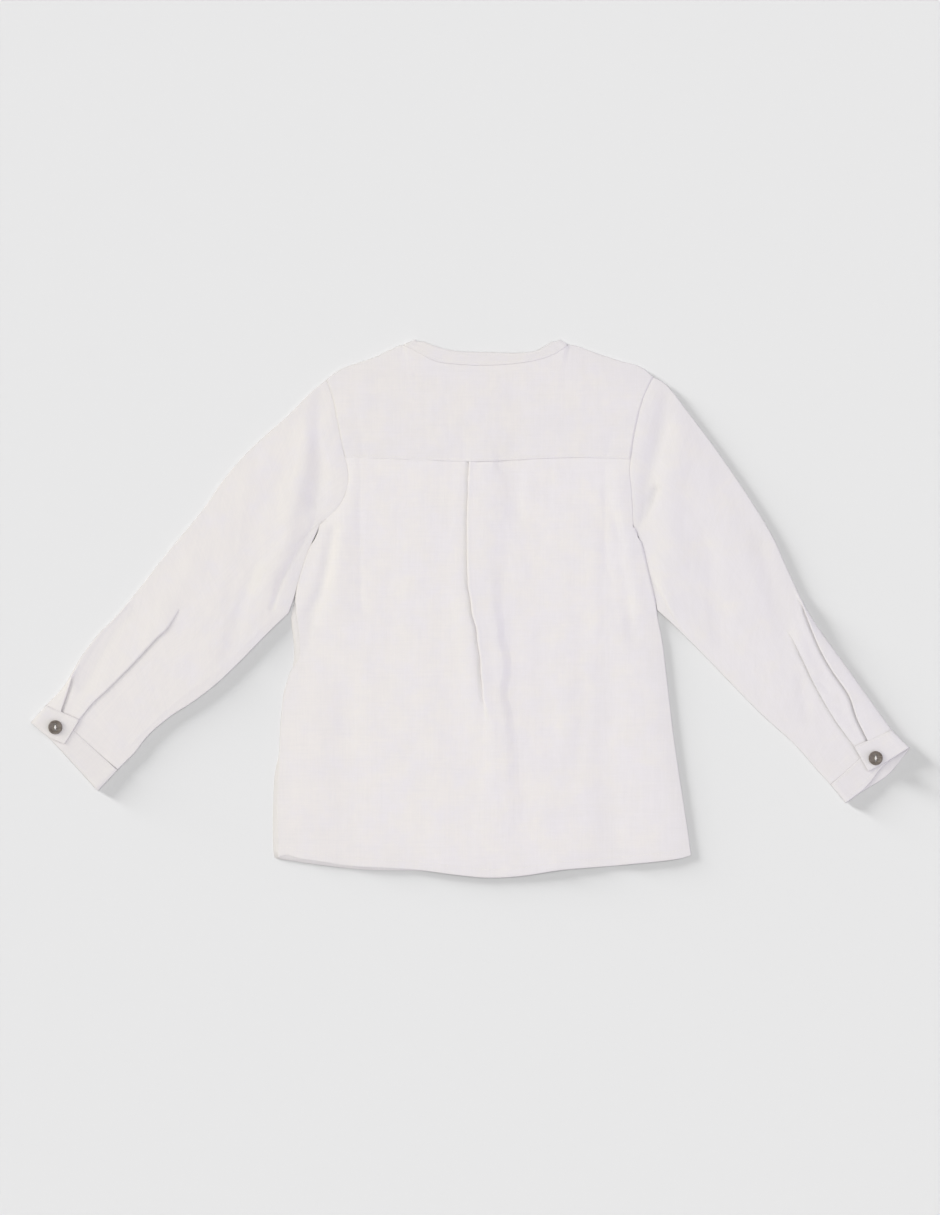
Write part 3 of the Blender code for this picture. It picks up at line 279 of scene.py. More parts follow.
SLEEVE_FOLDS = {
    "left": [
        ("soft", 7.0, -1.9, [(-127.0, 180.0), (-130.0, 150.0), (-128.0, 115.0), (-133.0, 88.0)]),
        ("soft", 10.0, 1.8, [(-134.0, 150.0), (-150.0, 90.0), (-157.0, 50.0), (-172.0, 22.0)]),
        ("soft", 2.6, -1.1, [(-131.0, 74.0), (-145.0, 49.0), (-157.0, 30.0), (-168.0, 0.0)]),
        ("soft", 7.0, -1.0, [(-182.8, 34.9), (-197.6, -8.0), (-205.0, -40.0)]),
        ("soft", 6.0, -2.2, [(-290.0, -0.5), (-310.0, -26.0), (-330.0, -62.0)]),
        ("soft", 6.0, -0.5, [(-183.6, 57.8), (-208.0, 2.6)]),
        ("crease", 1.6, 0.5, [(-171.0, -11.0), (-213.0, -52.0), (-248.0, -78.0), (-290.0, -117.0)]),
        ("soft", 9.0, -0.6, [(-152.0, 124.0), (-172.0, 96.0), (-186.0, 70.0)]),
        ("soft", 9.0, 0.6, [(-236.0, 34.0), (-262.0, -6.0)]),
    ],
    "right": [
        ("soft", 8.0, -2.2, [(167.0, 178.0), (161.0, 148.8), (153.0, 115.6), (146.0, 83.3)]),
        ("soft", 12.0, 1.2, [(178.0, 140.0), (168.0, 90.0), (172.0, 40.0)]),
        ("soft", 9.0, -0.9, [(199.8, 57.8), (212.5, -27.2)]),
        ("soft", 9.0, -0.9, [(246.5, 53.6), (267.8, -18.7)]),
        ("soft", 8.0, -0.6, [(187.0, 168.0), (246.5, 53.6)]),
        ("soft", 5.0, -0.5, [(280.5, -61.0), (286.0, -95.0)]),
        ("lip", 1.5, 3.2, [(150.5, 32.0), (163.0, 11.0), (177.0, -16.0)]),
        ("soft", 3.2, -2.6, [(158.0, 100.0), (148.0, 80.0), (141.0, 67.0)]),
        ("soft", 3.0, -0.6, [(296.0, -62.0), (303.0, -69.0)]),
        ("soft", 3.0, -0.6, [(306.0, -82.0), (315.0, -88.0)]),
        ("soft", 3.0, -0.5, [(316.0, -98.0), (324.0, -101.0)]),
    ],
}

# %% [markdown]
# ## Curves and patches
#
# Dressmaking curves run smoothly through their marks, and so do these: a cubic
# between each two points, with the slope at a point taken from its neighbours.
# A Coons patch fills the space between four such curves. It is the sum of the
# two ruled surfaces between facing curves, less the flat one through the corners.

# %% Lines, patches and table columns


def run_along(points):
    """Length along a row of points, from 0 at the first."""
    return np.concatenate([[0.0], np.cumsum(np.linalg.norm(np.diff(points, axis=0), axis=1))])


def cubic(a, b, slope_a, slope_b, span, t):
    """The cubic from a to b that has the given slopes at both ends."""
    return (a * (2 * t**3 - 3 * t**2 + 1) + b * (3 * t**2 - 2 * t**3)
            + slope_a * span * (t**3 - 2 * t**2 + t) + slope_b * span * (t**3 - t**2))


def smooth(points):
    """Many points of the cubic curve through a few given ones, knots by the root of the gaps."""
    given = np.array(points, float)
    gaps = np.sqrt(np.linalg.norm(np.diff(given, axis=0), axis=1))
    knots = np.concatenate([[0.0], np.cumsum(gaps)])
    slopes = np.gradient(given, knots, axis=0)
    fine = np.linspace(0.0, knots[-1], 14 * len(given))
    i = np.clip(np.searchsorted(knots, fine, side="right") - 1, 0, len(given) - 2)
    span = (knots[i + 1] - knots[i])[:, None]
    t = (fine - knots[i])[:, None] / span
    return cubic(given[i], given[i + 1], slopes[i], slopes[i + 1], span, t)


class Line:
    """Smooth curves end to end, read by a share that grows with the length inside each."""

    def __init__(self, *curves, shares=(0.0, 1.0)):
        points, run = [], []
        for curve, start, stop in zip(curves, shares, shares[1:]):
            fine = smooth(curve)
            length = run_along(fine)
            points.append(fine)
            run.append(start + (stop - start) * length / length[-1])
        self.points = np.vstack(points)
        self.run = np.concatenate(run)

    def at(self, share):
        return np.stack([np.interp(share, self.run, axis) for axis in self.points.T], axis=-1)


def nearest(xy, line):
    """Distance from points to a line, its unit normal, and +1 on its left, -1 on its right."""
    keep = np.concatenate([[True], np.linalg.norm(np.diff(line.points, axis=0), axis=1) > 1e-6])
    points = line.points[keep]
    a, way = points[:-1], np.diff(points, axis=0)
    flat = xy.reshape(-1, 2)
    away = np.empty(len(flat))
    best = np.empty(len(flat), int)
    side = np.empty(len(flat))
    for start in range(0, len(flat), 8000):
        rel = flat[start:start + 8000, None] - a
        t = np.clip((rel * way).sum(-1) / (way**2).sum(-1), 0.0, 1.0)
        far = np.linalg.norm(rel - t[..., None] * way, axis=-1)
        chosen = far.argmin(axis=1)
        best[start:start + 8000] = chosen
        away[start:start + 8000] = far.min(axis=1)
        near_rel, along = rel[np.arange(len(rel)), chosen], way[chosen]
        turn = along[:, 0] * near_rel[:, 1] - along[:, 1] * near_rel[:, 0]
        side[start:start + 8000] = np.sign(turn)
    unit = way[best] / np.linalg.norm(way[best], axis=-1, keepdims=True)
    normal = np.column_stack([-unit[:, 1], unit[:, 0]])
    return away.reshape(xy.shape[:-1]), normal.reshape(xy.shape), side.reshape(xy.shape[:-1])


def patch(first, last, start, end):
    """Coons patch: ruled from first to last, plus ruled from start to end, less the corners."""

    def point(u, s):
        u, s = np.broadcast_arrays(np.asarray(u, float), np.asarray(s, float))
        a, b = u[..., None], s[..., None]
        corners = ((1 - a) * (1 - b) * start.at(0.0) + (1 - a) * b * start.at(1.0)
                   + a * (1 - b) * end.at(0.0) + a * b * end.at(1.0))
        return ((1 - b) * first.at(u) + b * last.at(u)
                + (1 - a) * start.at(s) + a * end.at(s) - corners)

    return point


def column(table, key, at, by):
    """One column of a table, eased from row to row with the cubic 3t^2 - 2t^3."""
    rows = sorted(table, key=lambda row: row[by])
    known = np.array([row[by] for row in rows])
    values = np.array([row[key] for row in rows])
    i = np.clip(np.searchsorted(known, at) - 1, 0, len(rows) - 2)
    t = np.clip((at - known[i]) / (known[i + 1] - known[i]), 0.0, 1.0)
    return values[i] + (values[i + 1] - values[i]) * t * t * (3 - 2 * t)


# %% [markdown]
# ## Relief
#
# Three things shape the cloth between its edges: the folds of the tables, a
# slow unevenness of a layer that lies on other layers, and the crumple that
# linen always keeps. The last two are gradient noise, a smooth random relief,
# worked out here so that the sheets truly have it and cast its small shadows.

# %% Folds and crumple
FOLD_DEPTH = 1.5
LIP_REACH = 6
LIP_SHARP = 4
CALM = 8.0
CRUMPLE_SEED = {"back": 11, "yoke": 31, "sleeve": 51, "cuff": 71}


def bell(x, centre, width):
    """exp(-((x - centre) / width)^2)"""
    return np.exp(-(((x - centre) / width) ** 2))


def calm(distance):
    """1 - exp(-d/CALM): folds and crumple die out towards an edge."""
    return 1 - np.exp(-distance / CALM)


def fold_height(folds, xy):
    """Heights times exp(-(d/w)^2), exp(-d/w) for a crease; a lip rises left of its line alone."""
    total = np.zeros(xy.shape[:-1])
    for kind, width, height, line in folds:
        away, _, side = nearest(xy, Line(line))
        away = away / width
        if kind == "soft":
            shape = np.exp(-away**2)
        elif kind == "crease":
            shape = np.exp(-away)
        else:
            shape = np.exp(-away / LIP_REACH) / (1 + np.exp(-LIP_SHARP * side * away))
        total += FOLD_DEPTH * height * shape
    return total


def relief(xy, spacing, seed, stretch=(1.0, 1.0)):
    """Gradient noise: random slopes on a lattice, blended with 6t^5 - 15t^4 + 10t^3."""
    chance = np.random.default_rng(seed)
    angle = chance.uniform(0.0, 2 * np.pi, (256, 256))
    place = xy / (spacing * np.array(stretch)) + 80.0
    cell = np.floor(place).astype(int)
    t = place - cell
    ease = t**3 * (t * (t * 6 - 15) + 10)
    total = 0.0
    for i in (0, 1):
        for j in (0, 1):
            turn = angle[(cell[..., 0] + i) % 256, (cell[..., 1] + j) % 256]
            slope = np.cos(turn) * (t[..., 0] - i) + np.sin(turn) * (t[..., 1] - j)
            weight = np.abs(1 - i - ease[..., 0]) * np.abs(1 - j - ease[..., 1])
            total = total + slope * weight
    return total * 1.5


def crumple(xy, seed, amount=1.0):
    """Slow unevenness, plus folded noise 1 - |n| whose ridges are small sharp creases."""
    slow = 0.32 * relief(xy, 46.0, seed) + 0.16 * relief(xy, 21.0, seed + 1, (0.8, 1.3))
    bent = xy + 3.0 * np.stack([relief(xy, 17.0, seed + 2), relief(xy, 17.0, seed + 3)], axis=-1)
    creases = 1 - np.abs(relief(bent, 15.0, seed + 4, (0.7, 1.6)))
    fine = 0.05 * relief(xy, 5.5, seed + 5)
    return amount * (slow + 0.2 * (creases**3 - 0.5) + fine)


# %% [markdown]
# ## The fold across a pleat
#
# Seen in section, a pleat's edge is an S: the lower layer runs in under the
# edge, turns back, and turns over it again. Where the pleat has opened, the same
# points lie on one soft slope, so one table column can melt one into the other.

# %% The section of a pleat and the loft of a tube


def rolled_step(edge, fold, rise, toward, reach=(8.0, 8.0), bed=0.1, depth=PLEAT_DEPTH, upper=2.5):
    """Nine points across a fold for each row: x by x, and levels from lower to upper layer."""
    turn = rise / 4
    zero = np.zeros_like(rise)
    depth, upper = zero + depth, zero + upper
    shut_x = np.stack([zero - 3.2, zero - 1.3, depth, depth + turn, depth,
                       zero, -turn, zero, upper], axis=-1)
    shut_z = np.array([0.02, -bed, -bed, 0.15, 0.4, 0.5, 0.72, 1.0, 1.0])
    share = np.linspace(0.0, 1.0, 9)
    low, high = (np.broadcast_to(part, rise.shape)[:, None] for part in reach)
    open_x = -low + (low + high) * share
    open_z = share**2 * (3 - 2 * share)
    fold, rise, edge = fold[:, None], rise[:, None], edge[:, None]
    x = edge + toward * (shut_x * fold + open_x * (1 - fold))
    z = rise * (shut_z * fold + open_z * (1 - fold))
    return (x, z) if toward > 0 else (x[:, ::-1], z[:, ::-1])


def refine(points, steps):
    """Cubic curves through each row's points, with knots by length; steps[i] points in gap i."""
    gap = np.linalg.norm(np.diff(points, axis=1), axis=2).clip(0.01)
    rate = np.diff(points, axis=1) / gap[..., None]
    slope = np.empty_like(points)
    slope[:, 0], slope[:, -1] = rate[:, 0], rate[:, -1]
    both = gap[:, 1:, None] + gap[:, :-1, None]
    slope[:, 1:-1] = (rate[:, :-1] * gap[:, 1:, None] + rate[:, 1:] * gap[:, :-1, None]) / both
    seat = np.append(np.repeat(np.arange(len(steps)), steps), len(steps) - 1)
    t = np.append(np.concatenate([np.arange(n) / n for n in steps]), 1.0)[None, :, None]
    span = gap[:, seat][..., None]
    return cubic(points[:, seat], points[:, seat + 1], slope[:, seat], slope[:, seat + 1], span, t)


def turned(distance):
    """Height of a turned edge above its fold: a quarter circle of radius TURN, then level."""
    return TURN * np.sqrt(1 - (1 - np.clip(distance / TURN, 0, 1)) ** 2)


def loft(from_a, from_b, crown):
    """Upper layer of a flat tube: turned at either fold, then 1 - exp(-d/SOFTEN) to its crown."""
    near = np.minimum(from_a, from_b)
    bend = EDGE + turned(near)
    soft = (1 - np.exp(-np.clip(from_a - TURN, 0, None) / SOFTEN)) \
        * (1 - np.exp(-np.clip(from_b - TURN, 0, None) / SOFTEN))
    return bend + (crown - EDGE - TURN) * soft


ARMHOLE_ENDS = {"left": (SHOULDER_LEFT[0], BACK_SIDE_LEFT[0]),
                "right": (SHOULDER_RIGHT[-1], BACK_SIDE_RIGHT[0])}


def armhole_height(xy, shoulder, armpit):
    """Height of the seam between body and sleeve, lofted between the shoulder and the armpit."""
    from_shoulder = np.linalg.norm(xy - np.array(shoulder), axis=-1)
    from_armpit = np.linalg.norm(xy - np.array(armpit), axis=-1)
    return loft(from_shoulder, from_armpit, ARMHOLE_TOP)


def draw_in(grid, side, distance):
    """Move one edge of a grid squarely towards the inside."""
    if side in ("left", "right"):
        grid = grid.transpose(1, 0, 2)
    edge, inner = (grid[0], grid[1]) if side in ("first", "left") else (grid[-1], grid[-2])
    way = np.gradient(edge[:, :2], axis=0) + 0.001 * (edge[-1] - edge[0])[:2]
    normal = np.column_stack([-way[:, 1], way[:, 0]])
    normal /= np.linalg.norm(normal, axis=1, keepdims=True)
    sense = np.sign(((inner - edge)[:, :2] * normal).sum(axis=1))
    edge[:, :2] += normal * (sense * distance)[:, None]


# %% [markdown]
# ## Writing shader maths as Python
#
# Nodes that only add or multiply read badly as boxes and wires. This small class
# wraps a socket, so that an expression such as `0.5 + 0.5 * weave` builds its
# Math nodes, also when the number comes first. Another method makes any other
# node from its type and settings, and `blend` mixes two colours.

# %% A socket that can be calculated with


class Wire:
    """A shader socket in one material, with the operators that the finishes below use."""

    def __init__(self, tree, socket):
        self.tree, self.socket = tree, socket

    def plug(self, value, socket):
        if isinstance(value, Wire):
            value.into(socket)
        else:
            socket.default_value = value

    def into(self, socket):
        self.tree.links.new(self.socket, socket)

    def node(self, kind, settings=None, **inputs):
        made = self.tree.nodes.new(kind)
        for key, value in (settings or {}).items():
            setattr(made, key, value)
        for key, value in inputs.items():
            numbered = key[0] == "i" and key[1:].isdigit()
            socket = made.inputs[int(key[1:]) if numbered else key]
            self.plug(value, socket)
        return made

    def out(self, made, name=0):
        return Wire(self.tree, made.outputs[name])

    def math(self, operation, a, b=0.0, c=0.0):
        made = self.tree.nodes.new("ShaderNodeMath")
        made.operation = operation
        for socket, value in zip(made.inputs, (a, b, c)):
            self.plug(value, socket)
        return Wire(self.tree, made.outputs[0])

    def __add__(self, other):
        return self.math("ADD", self, other)

    __radd__ = __add__

    def __mul__(self, other):
        return self.math("MULTIPLY", self, other)

    __rmul__ = __mul__

    def __sub__(self, other):
        return self.math("SUBTRACT", self, other)

    def __rsub__(self, other):
        return self.math("SUBTRACT", other, self)

    def sine(self):
        return self.math("SINE", self)

    def blend(self, first, second):
        """The first colour where this factor is 0, the second where it is 1; Wires are fine too."""
        made = self.node("ShaderNodeMix", {"data_type": "RGBA"}, i0=self)
        for seat, value in ((6, first), (7, second)):
            self.plug(value if isinstance(value, Wire) else (*value, 1.0), made.inputs[seat])
        return Wire(self.tree, made.outputs[2])

    def between(self, low, high):
        """0 below low, 1 above high, eased in between."""
        made = self.tree.nodes.new("ShaderNodeMapRange")
        made.interpolation_type = "SMOOTHSTEP"
        self.into(made.inputs["Value"])
        made.inputs["From Min"].default_value = low
        made.inputs["From Max"].default_value = high
        return Wire(self.tree, made.outputs[0])


def start_finish(name):
    """A new material, its Principled shader, and its object coordinates as a Wire."""
    finish = bpy.data.materials.new(name)
    finish.use_nodes = True
    tree = finish.node_tree
    shader = tree.nodes["Principled BSDF"]
    where = tree.nodes.new("ShaderNodeTexCoord")
    return finish, tree, shader, Wire(tree, where.outputs["Object"])


def noise(where, scale, detail=2.0, roughness=0.5, stretch=(1.0, 1.0, 1.0)):
    """Noise texture around 0, from a vector that a Mapping node stretches."""
    mapped = where.node("ShaderNodeMapping", i0=where)
    mapped.inputs["Scale"].default_value = stretch
    made = where.node("ShaderNodeTexNoise", {"noise_dimensions": "3D"}, Vector=where.out(mapped),
                      Scale=scale, Detail=detail, Roughness=roughness)
    return where.out(made) - 0.5


# %% [markdown]
# ## Linen
#
# Plain weave: every thread goes over one and under the next. The warp runs down
# the cut piece and the weft across it, so the pattern reads a UV map that holds
# the flat cut in metres. Linen thread is uneven, thick and thin by turns, which
# gives it its long slubs; they matter more to the eye than the weave itself.
# The yoke, the sleeves and the bands each take a slightly darker tone. The colour
# also holds painted light: warmer on the left and cooler on the right, for the two
# side lights, and painted shade where the cloth lies low.

# %% Make the linen
THREAD = 0.00062
LINEN_WARM = np.array([0.826, 0.791, 0.773])
LINEN_COOL = np.array([0.806, 0.776, 0.801])
# The deep tone serves for thinner thread and as painted shade for cloth that lies low.
LINEN_THIN_AND_SHADE = np.array([0.748, 0.720, 0.728])


def make_linen(name, tone):
    """Weave sin * sin, slubs and bands of long noise; warm to cool in random patches and
    as painted side light, warm left and cool right; deeper where thin, painted shade where low.
    """
    finish, tree, shader, where = start_finish(name)
    reader = tree.nodes.new("ShaderNodeUVMap")
    reader.uv_map = "cut"
    cut = Wire(tree, reader.outputs[0])
    parts = cut.node("ShaderNodeSeparateXYZ", i0=cut)
    across, down = cut.out(parts, 0), cut.out(parts, 1)
    wander = noise(cut, 90.0) * 0.0008
    warp = ((across + wander) * (math.pi / THREAD)).sine()
    weft = ((down + wander) * (math.pi / THREAD)).sine()
    weave = 0.5 + 0.5 * (warp * weft)
    warp_slub = noise(cut, 1.0, 3.0, 0.6, (1500.0, 60.0, 1.0))
    weft_slub = noise(cut, 1.0, 3.0, 0.6, (60.0, 1500.0, 1.0))
    warp_band = noise(cut, 1.0, 2.0, 0.5, (500.0, 14.0, 1.0))
    weft_band = noise(cut, 1.0, 2.0, 0.5, (18.0, 500.0, 1.0))
    cloud = noise(cut, 55.0, 4.0, 0.65)
    patches = noise(where, 48.0, 3.0, 0.6)
    uneven = 0.5 * warp_band + 0.5 * weft_band + 0.8 * warp_slub + 0.7 * weft_slub + 0.9 * cloud
    thick = uneven.between(-0.45, 0.4)
    place = where.node("ShaderNodeSeparateXYZ", i0=where)
    # Painted side light: over the random warm and cool patches, the tint runs warmer to the left
    # and cooler to the right across the shirt.
    side_light_and_patch_tint = (patches + 0.55 * where.out(place, 0)).between(-0.2, 0.2)
    # Painted shade: cloth lower than about 4 mm is blended towards the deep tone, fully below 1 mm,
    # for the shade in troughs and at the edges; thin threads add their own real darkening.
    raised_unshaded = where.out(place, 2).between(0.001, 0.0042)
    depth = (1 - thick) * 0.5 + (1 - raised_unshaded) * 0.45
    colour = depth.blend(side_light_and_patch_tint.blend(tone * LINEN_WARM, tone * LINEN_COOL), tone * LINEN_THIN_AND_SHADE)
    colour.into(shader.inputs["Base Color"])
    height = weave * 0.00005 + (warp_slub + weft_slub) * 0.00012 + warp_band * 0.00012
    bump = cut.node("ShaderNodeBump", Height=height, Strength=0.5, Distance=1.0)
    cut.out(bump).into(shader.inputs["Normal"])
    (0.86 + 0.1 * thick).into(shader.inputs["Roughness"])
    shader.inputs["Sheen Weight"].default_value = 0.1
    shader.inputs["Sheen Roughness"].default_value = 0.6
    shader.inputs["Specular IOR Level"].default_value = 0.2
    return finish


linen_body = make_linen("linen_body", 1.0)
linen_yoke = make_linen("linen_yoke", 0.98)
linen_sleeve = make_linen("linen_sleeve", 0.985)
linen_band = make_linen("linen_band", 0.968)
print("linen nodes", len(linen_body.node_tree.nodes))

# %% [markdown]
# ## From a grid of points to a sheet of cloth
#
# Each sheet is a grid, or a few grids that share an edge. The faces come from the
# grid's numbering, all at once.

# %% Build a sheet


def cloth_sheet(name, node, grids, cuts, wall, finish):
    """One object from grids (rows, columns, 3) in mm and cuts (rows, columns, 2) in mm."""
    points, uv, faces, start = [], [], [], 0
    for grid, cut in zip(grids, cuts):
        rows, cols = grid.shape[:2]
        index = start + np.arange(rows * cols).reshape(rows, cols)
        quads = np.stack([index[:-1, :-1], index[1:, :-1], index[1:, 1:], index[:-1, 1:]], axis=-1)
        points.append(grid.reshape(-1, 3) - np.array([*CENTRE, 0.0]))
        uv.append(cut.reshape(-1, 2))
        faces.append(quads.reshape(-1, 4))
        start += rows * cols
    points, uv, faces = (np.vstack(parts) for parts in (points, uv, faces))
    mesh = bpy.data.meshes.new(name)
    mesh.from_pydata((points * MM).tolist(), [], faces.tolist())
    layer = mesh.uv_layers.new(name="cut")
    corner = np.empty(len(mesh.loops), int)
    mesh.loops.foreach_get("vertex_index", corner)
    layer.data.foreach_set("uv", (uv[corner] * MM).astype(np.float32).ravel())
    sheet = bpy.data.objects.new(name, mesh)
    scene.collection.objects.link(sheet)
    weld_and_face_out(mesh)
    mesh.shade_smooth()
    mesh.materials.append(finish)
    solid = sheet.modifiers.new("Wall", "SOLIDIFY")
    solid.thickness = wall * MM
    solid.offset = 0.0
    solid.use_quality_normals = True
    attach(sheet, "root")
    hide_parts(node)
    print(name, len(mesh.vertices), "points,", len(mesh.polygons), "faces")
    return sheet


def weld_and_face_out(mesh):
    """Merge the points that grids share, and turn all faces the same way."""
    work = bmesh.new()
    work.from_mesh(mesh)
    bmesh.ops.remove_doubles(work, verts=work.verts, dist=0.02 * MM)
    bmesh.ops.recalc_face_normals(work, faces=work.faces)
    work.to_mesh(mesh)
    work.free()


# %% [markdown]
# ## The back
#
# Below the yoke the back is one piece with a box pleat in its middle: a strip of
# cloth on top, whose left edge stays folded for most of the length while the
# right one soon opens into a slope. Across each row lie 35 marks, and a smooth
# curve through them gives the rest.

# %% Cut the back
PLEAT_SEEN_AT = 0.48


def body_height(xy, left_z, right_z, crown):
    """The crown of the body, lowered by exp(-d/SOFTEN) towards its two sides."""
    from_left = xy[..., 0] - xy[:, :1, 0]
    from_right = xy[:, -1:, 0] - xy[..., 0]
    return crown - (crown - left_z) * np.exp(-from_left / SOFTEN) \
        - (crown - right_z) * np.exp(-from_right / SOFTEN)


def back_grid():
    """Marks in x by the pleat's table, y by the patch, z by crown, pleat, folds and crumple."""
    armpit = 0.2
    left = Line(BACK_ARM_LEFT, BACK_SIDE_LEFT, shares=(0.0, armpit, 1.0))
    right = Line(BACK_ARM_RIGHT, BACK_SIDE_RIGHT, shares=(0.0, armpit, 1.0))
    surface = patch(left, right, Line(YOKE_SEAM), Line(BACK_HEM))
    u = np.concatenate([[0.0, 0.002, 0.0045, 0.0075], np.linspace(0.0115, 0.99, 164),
                        [0.994, 0.997, 0.999, 1.0]])
    ends = surface(u[:, None], np.array([[0.0, 1.0]]))
    x_left, x_right = ends[:, :1, 0], ends[:, 1:, 0]
    y_middle = surface(u, PLEAT_SEEN_AT)[:, 1]
    pleat = {key: column(BOX_PLEAT, key, y_middle, "y") for key in PLEAT_COLUMNS[1:]}
    first_x, first_z = rolled_step(pleat["left"], pleat["fold"], pleat["rise"], 1,
                                   (pleat["low"], 3.0))
    last_x, last_z = rolled_step(pleat["right"], np.zeros(len(u)), pleat["rise"], -1,
                                 (pleat["high"], pleat["high"]))
    outer = np.array([0.0, 0.015, 0.06, 0.18, 0.36, 0.54, 0.72, 0.88])
    before = x_left + (first_x[:, :1] - x_left) * outer
    after = x_right + (last_x[:, -1:] - x_right) * outer[::-1]
    flat = np.zeros_like(before)
    middle_x = (first_x[:, -1:] + last_x[:, :1]) / 2
    marks = np.stack([np.hstack([before, first_x, middle_x, last_x, after]),
                      np.hstack([flat, first_z, pleat["rise"][:, None], last_z, flat])], axis=-1)
    wing = [3, 4, 8, 11, 12, 12, 11, 8]
    section = refine(marks, wing + [3] * 18 + wing[::-1])
    s = (section[..., 0] - x_left) / (x_right - x_left)
    xy = surface(u[:, None], s)
    xy[..., 0] = section[..., 0]
    arm = (u < armpit)[:, None]
    edge_z, beside = [], []
    for k, (side, arm_ends) in enumerate(ARMHOLE_ENDS.items()):
        on_sleeve = 1 / (1 + np.exp((SLEEVE_LEAVES[side] - ends[:, k, 1]) / 3.0))
        low = LOW_EDGE + (OVER_FOLD[side] - LOW_EDGE) * on_sleeve[:, None]
        high = np.maximum(armhole_height(ends[:, k:k + 1], *arm_ends), OVER_FOLD[side])
        edge_z.append(np.where(arm, high, low))
        beside.append(on_sleeve)
    from_hem = np.abs(xy[..., 1] - Line(BACK_HEM).at(s)[..., 1])
    crown = CROWN_BODY - (CROWN_BODY - HEM_EDGE) * np.exp(-from_hem / 20.0)
    from_edge = np.minimum(xy[..., 0] - x_left, x_right - xy[..., 0])
    inside = calm(from_edge)
    z = body_height(xy, *edge_z, crown) + section[..., 1]
    z = z + (fold_height(BODY_FOLDS, xy) + crumple(xy, CRUMPLE_SEED["back"])) * inside
    from_yoke = np.abs(xy[..., 1] - Line(YOKE_SEAM).at(s)[..., 1])
    z = z - 0.05 * np.exp(-from_yoke / 1.2) - 0.6 * np.exp(-from_hem / 0.8)
    grid = np.dstack([xy, np.maximum(z, LOW_EDGE)])
    grid[0, :, 2] -= UNDER_SEAM
    draw_in(grid, "first", -TUCK)
    y_left, y_right = ends[:, 0, 1], ends[:, 1, 1]
    gaping = 1.9 * bell(y_left, 61.0, 6.0) + 0.8 * bell(y_left, 1.0, 2.5)
    draw_in(grid, "left", HAIR + gaping - OVERLAP["left"] * beside[0] * (1 - arm[:, 0]))
    draw_in(grid, "right", HAIR + 1.4 * bell(y_right, 60.0, 3.0)
            - OVERLAP["right"] * beside[1] * (1 - arm[:, 0]))
    return grid


back = back_grid()
back_sheet = cloth_sheet("back_cloth", "back_panel", [back], [back[..., :2]], CLOTH,
                         linen_body)

# %% [markdown]
# ## The yoke
#
# The yoke covers the shoulders. It goes over them, so in the flat lay it is
# folded along both shoulder lines and its front edges lie underneath. Its lower
# edge rises over the pleat and sinks into the trough beside it, so that no gap
# opens, and its turned-in seam allowance makes a band of double cloth there.

# %% Cut the yoke


